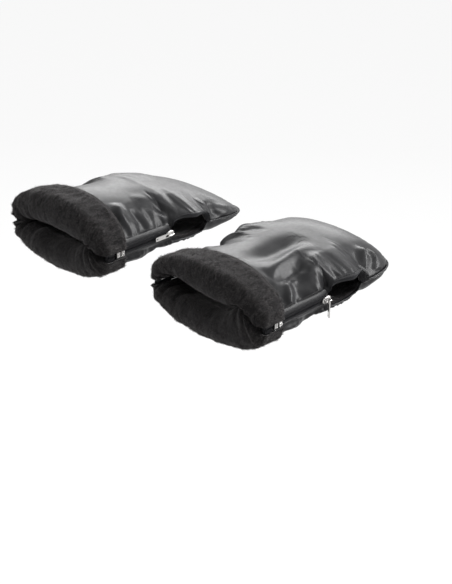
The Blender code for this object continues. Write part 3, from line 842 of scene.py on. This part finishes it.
def scattered_mesh(name, points, faces, spots, axes):
    """Mesh of one small shape repeated at many spots, each with its own three axes."""
    copies = spots[:, None] + np.einsum("vi,nij->nvj", points, axes)
    jumps = np.arange(len(spots)) * len(points)
    all_faces = [[jump + index for index in face] for jump in jumps.tolist() for face in faces]
    mesh = bpy.data.meshes.new(name)
    mesh.from_pydata(copies.reshape(-1, 3).tolist(), [], all_faces)
    mesh.shade_smooth()
    return mesh


def unit(vectors):
    return vectors / np.maximum(np.linalg.norm(vectors, axis=-1, keepdims=True), TINY)


def pile_mesh(shown, rows, seed):
    """Short hairs over the cuff, the lip and the first stretch inside the mouth."""
    draw = np.random.default_rng(seed)
    first = int(np.argmax((rows.along[:, 0] < MOUTH_Y + PILE_REACH)))
    last = len(shown) - 1
    row = draw.uniform(first, last - PILE_MARGIN, PILE_COUNT)
    column = draw.uniform(PILE_FIRST_COLUMN, shown.shape[1] - PILE_LAST_COLUMNS, PILE_COUNT)
    low_row, low_column = row.astype(int), column.astype(int)
    part_row, part_column = (row - low_row)[:, None], (column - low_column)[:, None]
    corner = shown[low_row, low_column]
    ahead = shown[low_row + 1, low_column] - corner
    beside = shown[low_row, low_column + 1] - corner
    spots = corner + ahead * part_row + beside * part_column
    out = unit(np.cross(beside, ahead))
    out *= -np.sign(np.sum(out * hair_inward(shown, rows)[low_row, low_column], axis=-1, keepdims=True))
    clump = np.stack([noise_field(spots, PILE_CLUMP_SCALE, seed + turn) for turn in range(3)], axis=-1)
    comb = (PILE_ALONG * unit(ahead) + PILE_OUT * out + PILE_LEAN * clump
            + PILE_STRAY * draw.normal(size=spots.shape))
    length = PILE_LENGTH * draw.uniform(*PILE_LENGTH_SHARES, (PILE_COUNT, 1))
    tall = unit(comb) * length
    side = unit(np.cross(tall, out + PILE_TILT)) * PILE_WIDTH / 2
    deep = unit(np.cross(side, tall)) * PILE_WIDTH / 2
    return scattered_mesh("pile", np.array(HAIR_POINTS), HAIR_FACES, spots,
                          np.stack([side, deep, tall], axis=1))


def hair_inward(shown, rows):
    """Direction into the plush at each point of its visible face."""
    from_middle = unit(shown - np.array([0, 0, SEAM_Z])) * np.cos(rows.turn)[..., None]
    return from_middle + np.array([0, 1.0, 0]) * np.sin(rows.turn)[..., None]


# Zips, seams and metal

def sleeve_rows(last_share):
    """Rows along a zip: from the side passage to the mouth, round the lip, along the cuff."""
    straight = np.linspace(OPENING_REAR_Y, MOUTH_Y, int((OPENING_REAR_Y - MOUTH_Y) / SLEEVE_STEP))
    flat = np.zeros_like(straight)
    cuff_shares = np.linspace(0, last_share, SLEEVE_CUFF_STEPS)[1:]
    return join_rows(Rows(straight, flat, flat), cuff_rows(cuff_shares))


def strip_points(half, side, muff_side, rows, heights, depth):
    """Points along one side at heights over the seam line, all at one depth."""
    angle = side * np.concatenate([angle_at(half, rows.along, height) for height in heights], axis=1)
    return settle(muff_side, place(half, rows, angle, np.full(angle.shape, depth)))


def add_tape(name, half, side, muff_side, material):
    """Woven tape between the teeth and the leather's hem, which covers the rest of it."""
    heights = np.linspace(TEETH_FAR + CLEARANCE, HEM_SETBACK - CLEARANCE, TAPE_ROWS)
    rows = sleeve_rows(1)
    outer = strip_points(half, side, muff_side, rows, heights, 0)
    inner = strip_points(half, side, muff_side, rows, heights, TAPE_THICKNESS)
    return add_piece(name, at_muff(slab_mesh("tape", outer, inner), muff_side), material)


def run_along(line):
    """Distance of each point of a line from its start."""
    return np.concatenate([[0], np.cumsum(np.linalg.norm(np.diff(line, axis=0), axis=1))])


def sampled(stops, run, values):
    """Values along a line, taken at stops on its run."""
    return np.stack([np.interp(stops, run, values[:, axis]) for axis in range(3)], axis=-1)


def add_teeth(name, half, side, muff_side, material):
    """Teeth of one row, set half a pitch off the other row's, clear of the slider's web."""
    rows = sleeve_rows(TEETH_END_SHARE)
    line = strip_points(half, side, muff_side, rows, (SEAM_PART, TEETH_FAR), TAPE_THICKNESS / 2)
    near, far = line[:, 0], line[:, 1]
    run = run_along(near)
    offset = TOOTH_PITCH * TOOTH_OFFSET_SHARES[half.sign]
    stops = np.arange(offset + TOOTH_PITCH, run[-1] - TOOTH_PITCH, TOOTH_PITCH)
    tip, root = sampled(stops, run, near), sampled(stops, run, far)
    ahead = unit(sampled(stops, run, np.gradient(near, axis=0)))
    reach = unit(tip - root)
    out = unit(np.cross(ahead, reach))
    tall = tip + reach * TOOTH_REACH - root
    axes = np.stack([ahead * TOOTH_LENGTH / 2, out * TEETH_THICKNESS / 2, tall], axis=1)
    faces = [(0, 1, 2, 3), (8, 9, 10, 11)] + wall_faces(3, 4)
    mesh = outward(scattered_mesh("teeth", np.array(TOOTH_POINTS), faces, root, axes))
    mesh.set_sharp_from_angle(angle=TOOTH_SHARP_ANGLE)
    return add_piece(name, at_muff(mesh, muff_side), material)


def stitch_mesh(lines):
    """Stitches laid along lines on the leather, each line with its outward directions."""
    spots, axes = [], []
    for line, out in lines:
        run = run_along(line)
        stops = np.arange(STITCH_PITCH, run[-1] - STITCH_PITCH, STITCH_PITCH)
        slope = unit(sampled(stops, run, np.gradient(line, axis=0)))
        lift = unit(sampled(stops, run, out))
        side = unit(np.cross(slope, lift))
        spots.append(sampled(stops, run, line) + lift * STITCH_RADIUS * STITCH_STAND_SHARE)
        axes.append(np.stack([side * STITCH_RADIUS, lift * STITCH_RADIUS,
                              slope * STITCH_LENGTH / 2], axis=1))
    turn = np.linspace(0, math.tau, STITCH_SIDES, endpoint=False)
    points, faces = stacked([[(radius * math.cos(a), radius * math.sin(a), level) for a in turn]
                             for radius, level in STITCH_RINGS])
    return outward(scattered_mesh("stitches", points, faces, np.concatenate(spots),
                                  np.concatenate(axes)))


def add_stitches(name, muff_side, outer, seam_rows, material):
    """Lines of stitching along a panel's two side edges."""
    out = unit(np.cross(np.gradient(outer, axis=1), np.gradient(outer, axis=0)))
    middle = outer.mean(axis=(0, 1))
    out *= np.sign(np.sum(out * (outer - middle), axis=-1, keepdims=True))
    rows = slice(seam_rows, -STITCH_END_ROWS)
    lines = [(outer[rows, column], out[rows, column])
             for column in (STITCH_COLUMN, outer.shape[1] - 1 - STITCH_COLUMN)]
    return add_piece(name, at_muff(stitch_mesh(lines), muff_side), material)


def add_binding(name, side, muff_side, pad_outer, plush_shown, material):
    """Rolled binding over the edges of leather and plush along a side passage."""
    column = -1 if side > 0 else 0
    along = body_rows().along
    inside = (along > OPENING_REAR_Y + CLEARANCE) & (along < OPENING_FRONT_Y - CLEARANCE)
    high = pad_outer[:len(along)][inside, column]
    low = plush_shown[:len(along)][inside, column]
    centre = (high + low) / 2
    ahead = unit(np.gradient(centre, axis=0))
    major = (high - low) / 2 + unit(high - low) * BINDING_GAP
    minor = unit(np.cross(ahead, major)) * BINDING_WIDTH * BINDING_FLAT_SHARE
    turn = np.linspace(0, math.tau, BINDING_SIDES, endpoint=False)[None, :, None]
    points = centre[:, None] + major[:, None] * np.cos(turn) + minor[:, None] * np.sin(turn)
    mesh = closed_mesh("binding", points.reshape(-1, 3), ring_faces(len(points), BINDING_SIDES))
    return add_piece(name, at_muff(mesh, muff_side), material)


def add_welt(name, muff_side, material):
    """Welt round the nose seam, puckered where its stitches pull it in."""
    along = np.linspace(OPENING_FRONT_Y, NOSE_Y, WELT_STEPS)
    edge = np.full_like(along, math.pi / 2)
    out = outer_normals(TOP, along, edge)
    line = outer_points(TOP, along, edge) + WELT_STAND * out
    line[:, 2] = SEAM_Z + WELT_PUCKER * np.sin(np.arange(len(line)) * WELT_PUCKER_TURN)
    mirrored = line[::-1] * (-1, 1, 1)
    path = settle(muff_side, np.concatenate([line, mirrored[1:]]))
    mesh = closed_mesh("welt", *tube_shape(path, WELT_RADIUS, WELT_SIDES))
    return add_piece(name, at_muff(mesh, muff_side), material)


def joined(parts):
    """Points and faces of several shapes as one."""
    jumps = np.cumsum([0] + [len(points) for points, faces in parts])
    points = np.concatenate([points for points, faces in parts])
    return points, [[jump + index for index in face]
                    for jump, (_, faces) in zip(jumps.tolist(), parts) for face in faces]


def stacked(rings):
    """Points and faces of a closed shape through rings of equally many points."""
    count = len(rings[0])
    ends = [list(range(count))[::-1], [(len(rings) - 1) * count + step for step in range(count)]]
    return np.concatenate(rings), ends + wall_faces(len(rings), count)


def ribbed_mesh(plain):
    """Zip end of the plain block's size, with grooves across its broad faces."""
    spots = np.array([vertex.co for vertex in plain.vertices])
    low, high = spots.min(axis=0), spots.max(axis=0)
    stops = np.linspace(low[1], high[1], 2 * RIB_COUNT)
    deep = np.tile([0, 0, GROOVE_DEPTH, GROOVE_DEPTH], RIB_COUNT)[:4 * RIB_COUNT - 2]
    runs = np.repeat(stops, 2)[1:-1]
    runs = np.concatenate([[stops[0]], runs, [stops[-1]]])[:len(deep)]
    right = [(high[0] - inset, run) for inset, run in zip(deep, runs)]
    left = [(low[0] + inset, run) for inset, run in zip(deep, runs)][::-1]
    outline = np.array(right + left)
    rings = [np.column_stack([outline, np.full(len(outline), height)]) for height in (low[2], high[2])]
    return closed_mesh("ribbed", *stacked(rings))


def slider_mesh(side, muff_side):
    """Slider with rounded plates, its web at the open end and a wire bail outside."""
    turn = np.linspace(0, math.tau, PLATE_SIDES, endpoint=False)
    run, rise = (np.sign(wave) * np.abs(wave) ** PLATE_OVAL_SHARE for wave in (np.cos(turn), np.sin(turn)))
    rise = rise * (1 - PLATE_TAPER_SHARE * (1 - run) / 2)
    reach = TEETH_THICKNESS / 2 + SLIDER_PLAY + SLIDER_PLATE / 2
    parts = []
    for centre in (-reach, reach):
        rings = []
        for level, scale in PLATE_LEVELS:
            rings.append(np.column_stack([np.full(len(turn), side * centre + level * SLIDER_PLATE),
                                          scale * SLIDER_LENGTH / 2 * run,
                                          scale * SLIDER_HEIGHT / 2 * rise]))
        parts.append(stacked(rings))
    web_end = SLIDER_LENGTH / 2 - PLATE_WEB_LEAD
    corners = [(web_end - SLIDER_WEB_LENGTH, -SLIDER_WEB / 2), (web_end, -SLIDER_WEB / 2),
               (web_end, SLIDER_WEB / 2), (web_end - SLIDER_WEB_LENGTH, SLIDER_WEB / 2)]
    parts.append(stacked([np.array([(level, *corner) for corner in corners]) for level in (-reach, reach)]))
    foot = reach + SLIDER_PLATE / 4
    top = reach + SLIDER_PLATE / 2 + BAIL_ROOM + BAIL_WIRE / 2
    half_span = (BAIL_SPAN - BAIL_WIRE) / 2
    bend = np.linspace(0, math.pi / 2, BAIL_BEND_STEPS)
    arch = [(foot, half_span)]
    arch += [(top - BAIL_BEND * (1 - math.sin(a)), half_span - BAIL_BEND * (1 - math.cos(a))) for a in bend]
    line = np.array([(side * x, y, 0) for x, y in arch + [(x, -y) for x, y in arch[::-1]]])
    parts.append(tube_shape(line, BAIL_WIRE / 2, BAIL_SIDES))
    points, faces = joined(parts)
    points = points + (side * (HALF_WIDTH - TAPE_THICKNESS / 2), SLIDER_Y, SEAM_Z)
    return at_muff(closed_mesh("slider", points, faces), muff_side)


def add_metal(node, material, mesh):
    """Zip metal with the softened edges of a plated casting, in place of its plain node."""
    plain = frame["nodes"][node]
    piece = add_piece(f"{node}_plated", mesh, material)
    edges = piece.modifiers.new("edges", "BEVEL")
    edges.width = METAL_BEVEL
    edges.segments = METAL_BEVEL_STEPS
    edges.limit_method = "ANGLE"
    piece.data.shade_smooth()
    piece.data.set_sharp_from_angle(angle=METAL_SHARP_ANGLE)
    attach(piece, plain["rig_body"])
    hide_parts(node)


# Finishes

# Stretch of a texture's values that is spread over its colours or its roughness
TEXTURE_LOW = 0.3
TEXTURE_HIGH = 0.7


def feed(node, inputs):
    """Gives each named input of a node its value, or links it to another node's output."""
    for name, value in inputs.items():
        socket = node.inputs[name]
        if isinstance(value, bpy.types.NodeSocket):
            node.id_data.links.new(value, socket)
        else:
            socket.default_value = value
    return node


def add_node(tree, kind, inputs, **settings):
    node = tree.nodes.new(kind)
    for name, value in settings.items():
        setattr(node, name, value)
    return feed(node, inputs)


def shader_of(name, colour, roughness, metallic=0.0):
    material = bpy.data.materials.new(name)
    material.use_nodes = True
    shader = material.node_tree.nodes["Principled BSDF"]
    feed(shader, {"Base Color": (*colour, 1), "Roughness": roughness, "Metallic": metallic})
    return material, shader


def object_coordinates(tree, stretch=(1, 1, 1)):
    source = add_node(tree, "ShaderNodeTexCoord", {})
    mapping = add_node(tree, "ShaderNodeMapping", {"Scale": stretch, "Vector": source.outputs["Object"]})
    return mapping.outputs["Vector"]


def noise_output(vector, scale, detail=4, roughness=0.55):
    inputs = {"Scale": scale, "Detail": detail, "Roughness": roughness, "Vector": vector}
    return add_node(vector.id_data, "ShaderNodeTexNoise", inputs).outputs["Fac"]


def cell_output(vector, scale):
    texture = add_node(vector.id_data, "ShaderNodeTexVoronoi", {"Scale": scale, "Vector": vector},
                       feature="DISTANCE_TO_EDGE")
    return texture.outputs["Distance"]


def bump(height, distance, strength, before=None):
    inputs = {"Strength": strength, "Distance": distance, "Height": height}
    if before:
        inputs["Normal"] = before
    return add_node(height.id_data, "ShaderNodeBump", inputs).outputs["Normal"]


def ranged(source, low, high):
    """Texture's value, spread between two values."""
    inputs = {"From Min": TEXTURE_LOW, "From Max": TEXTURE_HIGH, "To Min": low, "To Max": high,
              "Value": source}
    return add_node(source.id_data, "ShaderNodeMapRange", inputs).outputs["Result"]


def coloured(source, low, high, start=TEXTURE_LOW, end=TEXTURE_HIGH):
    """Texture's value, spread between two colours."""
    ramp = add_node(source.id_data, "ShaderNodeValToRGB", {"Fac": source})
    for stop, position, colour in zip(ramp.color_ramp.elements, (start, end), (low, high)):
        stop.position = position
        stop.color = (*colour, 1)
    return ramp.outputs["Color"]


def leatherette():
    material, shader = shader_of("leatherette_finish", (0.012, 0.012, 0.013), 0.34)
    where = object_coordinates(material.node_tree)
    grain = bump(cell_output(where, 950), 0.00006, 0.3)
    feed(shader, {
        "Specular IOR Level": 0.18,
        "Base Color": coloured(noise_output(where, 60), (0.009, 0.009, 0.010), (0.015, 0.015, 0.016)),
        "Roughness": ranged(noise_output(where, 260, 6), 0.33, 0.41),
        "Normal": bump(noise_output(where, 2600, 3), 0.00003, 0.3, grain),
    })
    return material


def plush(name, low, high):
    material, shader = shader_of(name, high, 0.95)
    where = object_coordinates(material.node_tree)
    combed = object_coordinates(material.node_tree, (1, 0.35, 0.6))
    tufts = bump(noise_output(combed, 900, 5, 0.7), 0.0009, 0.8)
    feed(shader, {
        "Specular IOR Level": 0.1,
        "Sheen Weight": 0.22,
        "Sheen Roughness": 0.35,
        "Sheen Tint": (0.62, 0.6, 0.6, 1),
        "Base Color": coloured(noise_output(combed, 420, 5), low, high),
        "Normal": bump(noise_output(where, 170, 3), 0.0014, 0.4, tufts),
    })
    return material


def woven(name, colour):
    material, shader = shader_of(name, colour, 0.8)
    where = object_coordinates(material.node_tree)
    weave = add_node(material.node_tree, "ShaderNodeTexWave",
                     {"Scale": 480, "Distortion": 0.6, "Vector": where},
                     wave_type="BANDS", bands_direction="DIAGONAL")
    dark = tuple(0.6 * value for value in colour)
    feed(shader, {
        "Specular IOR Level": 0.2,
        "Base Color": coloured(noise_output(where, 500), dark, colour),
        "Normal": bump(weave.outputs["Fac"], 0.0002, 0.6),
    })
    return material


def moulded():
    material, shader = shader_of("coil_finish", (0.018, 0.018, 0.02), 0.5)
    where = object_coordinates(material.node_tree)
    feed(shader, {"Specular IOR Level": 0.2, "Roughness": ranged(noise_output(where, 900), 0.42, 0.6)})
    return material


def nickel():
    """Bright plating, dull in places, with painted shade that darkens its colour in its recesses."""
    material, shader = shader_of("nickel_finish", (0.6, 0.59, 0.58), 0.2, 1.0)
    where = object_coordinates(material.node_tree, (1, 0.2, 1))
    painted_recess_shade = add_node(material.node_tree, "ShaderNodeAmbientOcclusion", {"Distance": 0.0014}, samples=8)
    feed(shader, {
        # Painted shade: ambient occlusion darkens the base colour in the recesses and gaps.
        "Base Color": coloured(painted_recess_shade.outputs["AO"], (0.012, 0.012, 0.012), (0.52, 0.51, 0.5), 0.5, 0.92),
        "Roughness": ranged(noise_output(where, 1500, 6), 0.14, 0.32),
        "Normal": bump(noise_output(where, 1100, 5), 0.00004, 0.4),
    })
    return material


# Camera, lights and floor

CAMERA_PLACE = (0.97535, -0.995, 0.620)
CAMERA_AZIMUTH = math.radians(43.7)
CAMERA_ELEVATION = math.radians(26.4)
CAMERA_ROLL = math.radians(0.8)
SENSOR = 36
FOCAL_PIXELS = 1400
IMAGE_HEIGHT = 584
FLOOR_Z = -0.95
FLOOR_SIZE = 24
FLOOR_COLOUR = (0.86, 0.86, 0.86)
FLOOR_ROUGHNESS = 0.9
FLOOR_GLOW = 0.88
WORLD_LIGHT = 0.45
WHITE = (1, 1, 1, 1)

Lamp = namedtuple("Lamp", "name place size power roll")
LAMPS = (
    Lamp("back_left", (-1.5, 1.6, 0.80), (1.8, 0.9), 32, 0),
    Lamp("back_right", (1.1, 1.4, 1.1), (2.4, 0.55), 95, math.radians(58.5)),
    Lamp("overhead", (0.2, 0.1, 1.9), (0.8, 0.8), 6, 0),
    Lamp("front_left", (-1.5, -1.0, 0.6), (0.8, 0.8), 12, 0),
)


def add_camera():
    look = Vector((-math.sin(CAMERA_AZIMUTH) * math.cos(CAMERA_ELEVATION),
                   math.cos(CAMERA_AZIMUTH) * math.cos(CAMERA_ELEVATION),
                   -math.sin(CAMERA_ELEVATION)))
    right = look.cross(Vector((0, 0, 1))).normalized()
    turn = Matrix((right, right.cross(look), -look)).transposed()
    turn = turn @ Matrix.Rotation(CAMERA_ROLL, 3, "Z")
    data = bpy.data.cameras.new("camera")
    data.sensor_width = SENSOR
    data.lens = FOCAL_PIXELS / IMAGE_HEIGHT * SENSOR
    camera = new_object("camera", data)
    camera.matrix_world = Matrix.Translation(CAMERA_PLACE) @ turn.to_4x4()
    bpy.context.scene.camera = camera


def add_softbox(lamp):
    """Rectangular lamp that faces the part, with its long side turned by a roll."""
    data = bpy.data.lights.new(lamp.name, "AREA")
    data.shape = "RECTANGLE"
    data.size, data.size_y = lamp.size
    data.energy = lamp.power
    facing = (-Vector(lamp.place)).to_track_quat("-Z", "Y").to_matrix()
    turn = facing @ Matrix.Rotation(lamp.roll, 3, "Z")
    new_object(lamp.name, data).matrix_world = Matrix.Translation(lamp.place) @ turn.to_4x4()


def seen_directly(tree):
    """Factor that is 1 for what the camera, a reflection or glass sees."""
    path = add_node(tree, "ShaderNodeLightPath", {})
    total = path.outputs["Is Camera Ray"]
    for name in ("Is Glossy Ray", "Is Transmission Ray"):
        either = add_node(tree, "ShaderNodeMath", {0: total, 1: path.outputs[name]}, operation="MAXIMUM")
        total = either.outputs[0]
    return total


def mixed_surface(tree, output, factor, first, second):
    """Feeds a tree's output with two shaders, mixed by a factor."""
    both = add_node(tree, "ShaderNodeMixShader", {0: factor, 1: first.outputs[0], 2: second.outputs[0]})
    feed(tree.nodes[output], {"Surface": both.outputs[0]})


def add_world():
    world = bpy.data.worlds.new("studio")
    bpy.context.scene.world = world
    world.use_nodes = True
    tree = world.node_tree
    light = feed(tree.nodes["Background"], {"Color": WHITE, "Strength": WORLD_LIGHT})
    white = add_node(tree, "ShaderNodeBackground", {"Color": WHITE, "Strength": 1})
    mixed_surface(tree, "World Output", seen_directly(tree), light, white)


def add_floor():
    """Pale floor well below the muffs, near white to the camera."""
    mesh = bpy.data.meshes.new("floor")
    work = bmesh.new()
    bmesh.ops.create_grid(work, x_segments=2, y_segments=2, size=FLOOR_SIZE / 2)
    work.to_mesh(mesh)
    work.free()
    floor = new_object("floor", mesh)
    floor.location.z = FLOOR_Z
    material, shader = shader_of("floor_finish", FLOOR_COLOUR, FLOOR_ROUGHNESS)
    tree = material.node_tree
    faint = add_node(tree, "ShaderNodeMath", {0: seen_directly(tree), 1: FLOOR_GLOW}, operation="MULTIPLY")
    glow = add_node(tree, "ShaderNodeEmission", {})
    mixed_surface(tree, "Material Output", faint.outputs[0], shader, glow)
    mesh.materials.append(material)


def set_stage():
    add_camera()
    add_world()
    add_floor()
    for lamp in LAMPS:
        add_softbox(lamp)
    bpy.context.scene.view_settings.view_transform = "Standard"


def finish_nodes(finishes):
    """Gives every carried-over node the finish of its slot."""
    slots = {part["node"]: part["material_slot"] for part in frame["record"]["subparts"]}
    for name, node in frame["nodes"].items():
        node.data.materials.clear()
        node.data.materials.append(finishes[slots[name]])


def add_pile(prefix, muff_side, finishes, faces, rows, seed):
    """Hairs of the upper cuff ride on the muff, and those of the lower cuff on its flap."""
    for number, (group, body) in enumerate((("top", "muff"), ("under", "flap"))):
        mesh = at_muff(pile_mesh(faces[number], rows, 2 * seed + number), muff_side)
        pile = add_piece(f"{prefix}_{group}_pile", mesh, finishes["pile"])
        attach(pile, f"{prefix}_{body}")


def add_trim(prefix, muff_side, finishes, top_outer, under_outer, shown):
    """Zips, stitching, welt, bindings and metal of one muff."""
    for place_name, side in (("outer", muff_side), ("inner", -muff_side)):
        for group, half, body in (("top", TOP, "muff"), ("flap", BOTTOM, "flap")):
            label = f"{prefix}_{group}_zip"
            tape = add_tape(f"{label}_ribbon_{place_name}", half, side, muff_side, finishes["zip_tape"])
            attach(tape, f"{prefix}_{body}")
            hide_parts(f"{label}_tape_{place_name}")
            teeth = add_teeth(f"{label}_row_{place_name}", half, side, muff_side, finishes["zip_coil"])
            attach(teeth, f"{prefix}_{body}")
            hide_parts(f"{label}_teeth_{place_name}")
        binding = add_binding(f"{prefix}_bar_binding_{place_name}", side, muff_side, top_outer, shown,
                              finishes["binding"])
        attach(binding, f"{prefix}_muff")
        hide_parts(f"{prefix}_passage_binding_{place_name}")
        add_metal(f"{prefix}_zip_slider_{place_name}", finishes["nickel"], slider_mesh(side, muff_side))
        pull = f"{prefix}_zip_pull_{place_name}"
        add_metal(pull, finishes["nickel"], frame["nodes"][pull].data.copy())
        for metal in ("zip_box", "zip_pin"):
            node = f"{prefix}_{metal}_{place_name}"
            add_metal(node, finishes["nickel"], ribbed_mesh(frame["nodes"][node].data))
    welt = add_welt(f"{prefix}_seam_welt", muff_side, finishes["leatherette"])
    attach(welt, f"{prefix}_muff")
    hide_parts(f"{prefix}_nose_welt")
    first = int(np.argmax(body_rows().along < OPENING_FRONT_Y))
    over = add_stitches(f"{prefix}_top_stitches", muff_side, top_outer, first, finishes["thread"])
    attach(over, f"{prefix}_muff")
    below = add_stitches(f"{prefix}_under_stitches", muff_side, under_outer, first, finishes["thread"])
    hang_flap(below)


def main():
    finishes = {
        "leatherette": leatherette(),
        "plush": plush("plush_finish", (0.006, 0.0057, 0.006), (0.026, 0.0245, 0.025)),
        "wadding": woven("wadding_finish", (0.8, 0.8, 0.78)),
        "zip_tape": woven("tape_finish", (0.018, 0.018, 0.02)),
        "zip_coil": moulded(),
        "binding": woven("binding_finish", (0.015, 0.015, 0.017)),
        "nickel": nickel(),
        "pile": plush("pile_finish", (0.006, 0.0057, 0.006), (0.062, 0.057, 0.056)),
        "thread": woven("thread_finish", (0.02, 0.02, 0.022)),
    }
    finish_nodes(finishes)
    for seed, (prefix, side, folds) in enumerate((("left", -1, LEFT_TOP_FOLDS),
                                                  ("right", 1, RIGHT_TOP_FOLDS))):
        top, top_outer = add_pad(prefix, side, "top", TOP, folds, seed, finishes["leatherette"])
        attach(top, f"{prefix}_muff")
        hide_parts(f"{prefix}_top_shell", f"{prefix}_top_wadding")
        under, under_outer = add_pad(prefix, side, "under", BOTTOM, UNDER_FOLDS, seed + 5,
                                     finishes["leatherette"])
        hang_flap(under)
        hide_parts(*(f"{prefix}_{group}_{layer}" for group in ("pocket", "flap")
                             for layer in ("shell", "wadding")))
        lining, shown, rows = add_plush(prefix, side, "top", TOP, seed, finishes["plush"])
        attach(lining, f"{prefix}_muff")
        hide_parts(f"{prefix}_top_lining")
        lower, lower_shown, rows = add_plush(prefix, side, "under", BOTTOM, seed + 3, finishes["plush"])
        hang_flap(lower)
        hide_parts(f"{prefix}_pocket_lining", f"{prefix}_flap_lining")
        add_trim(prefix, side, finishes, top_outer, under_outer, shown)
        add_pile(prefix, side, finishes, (shown, lower_shown), rows, seed)
    set_stage()


main()
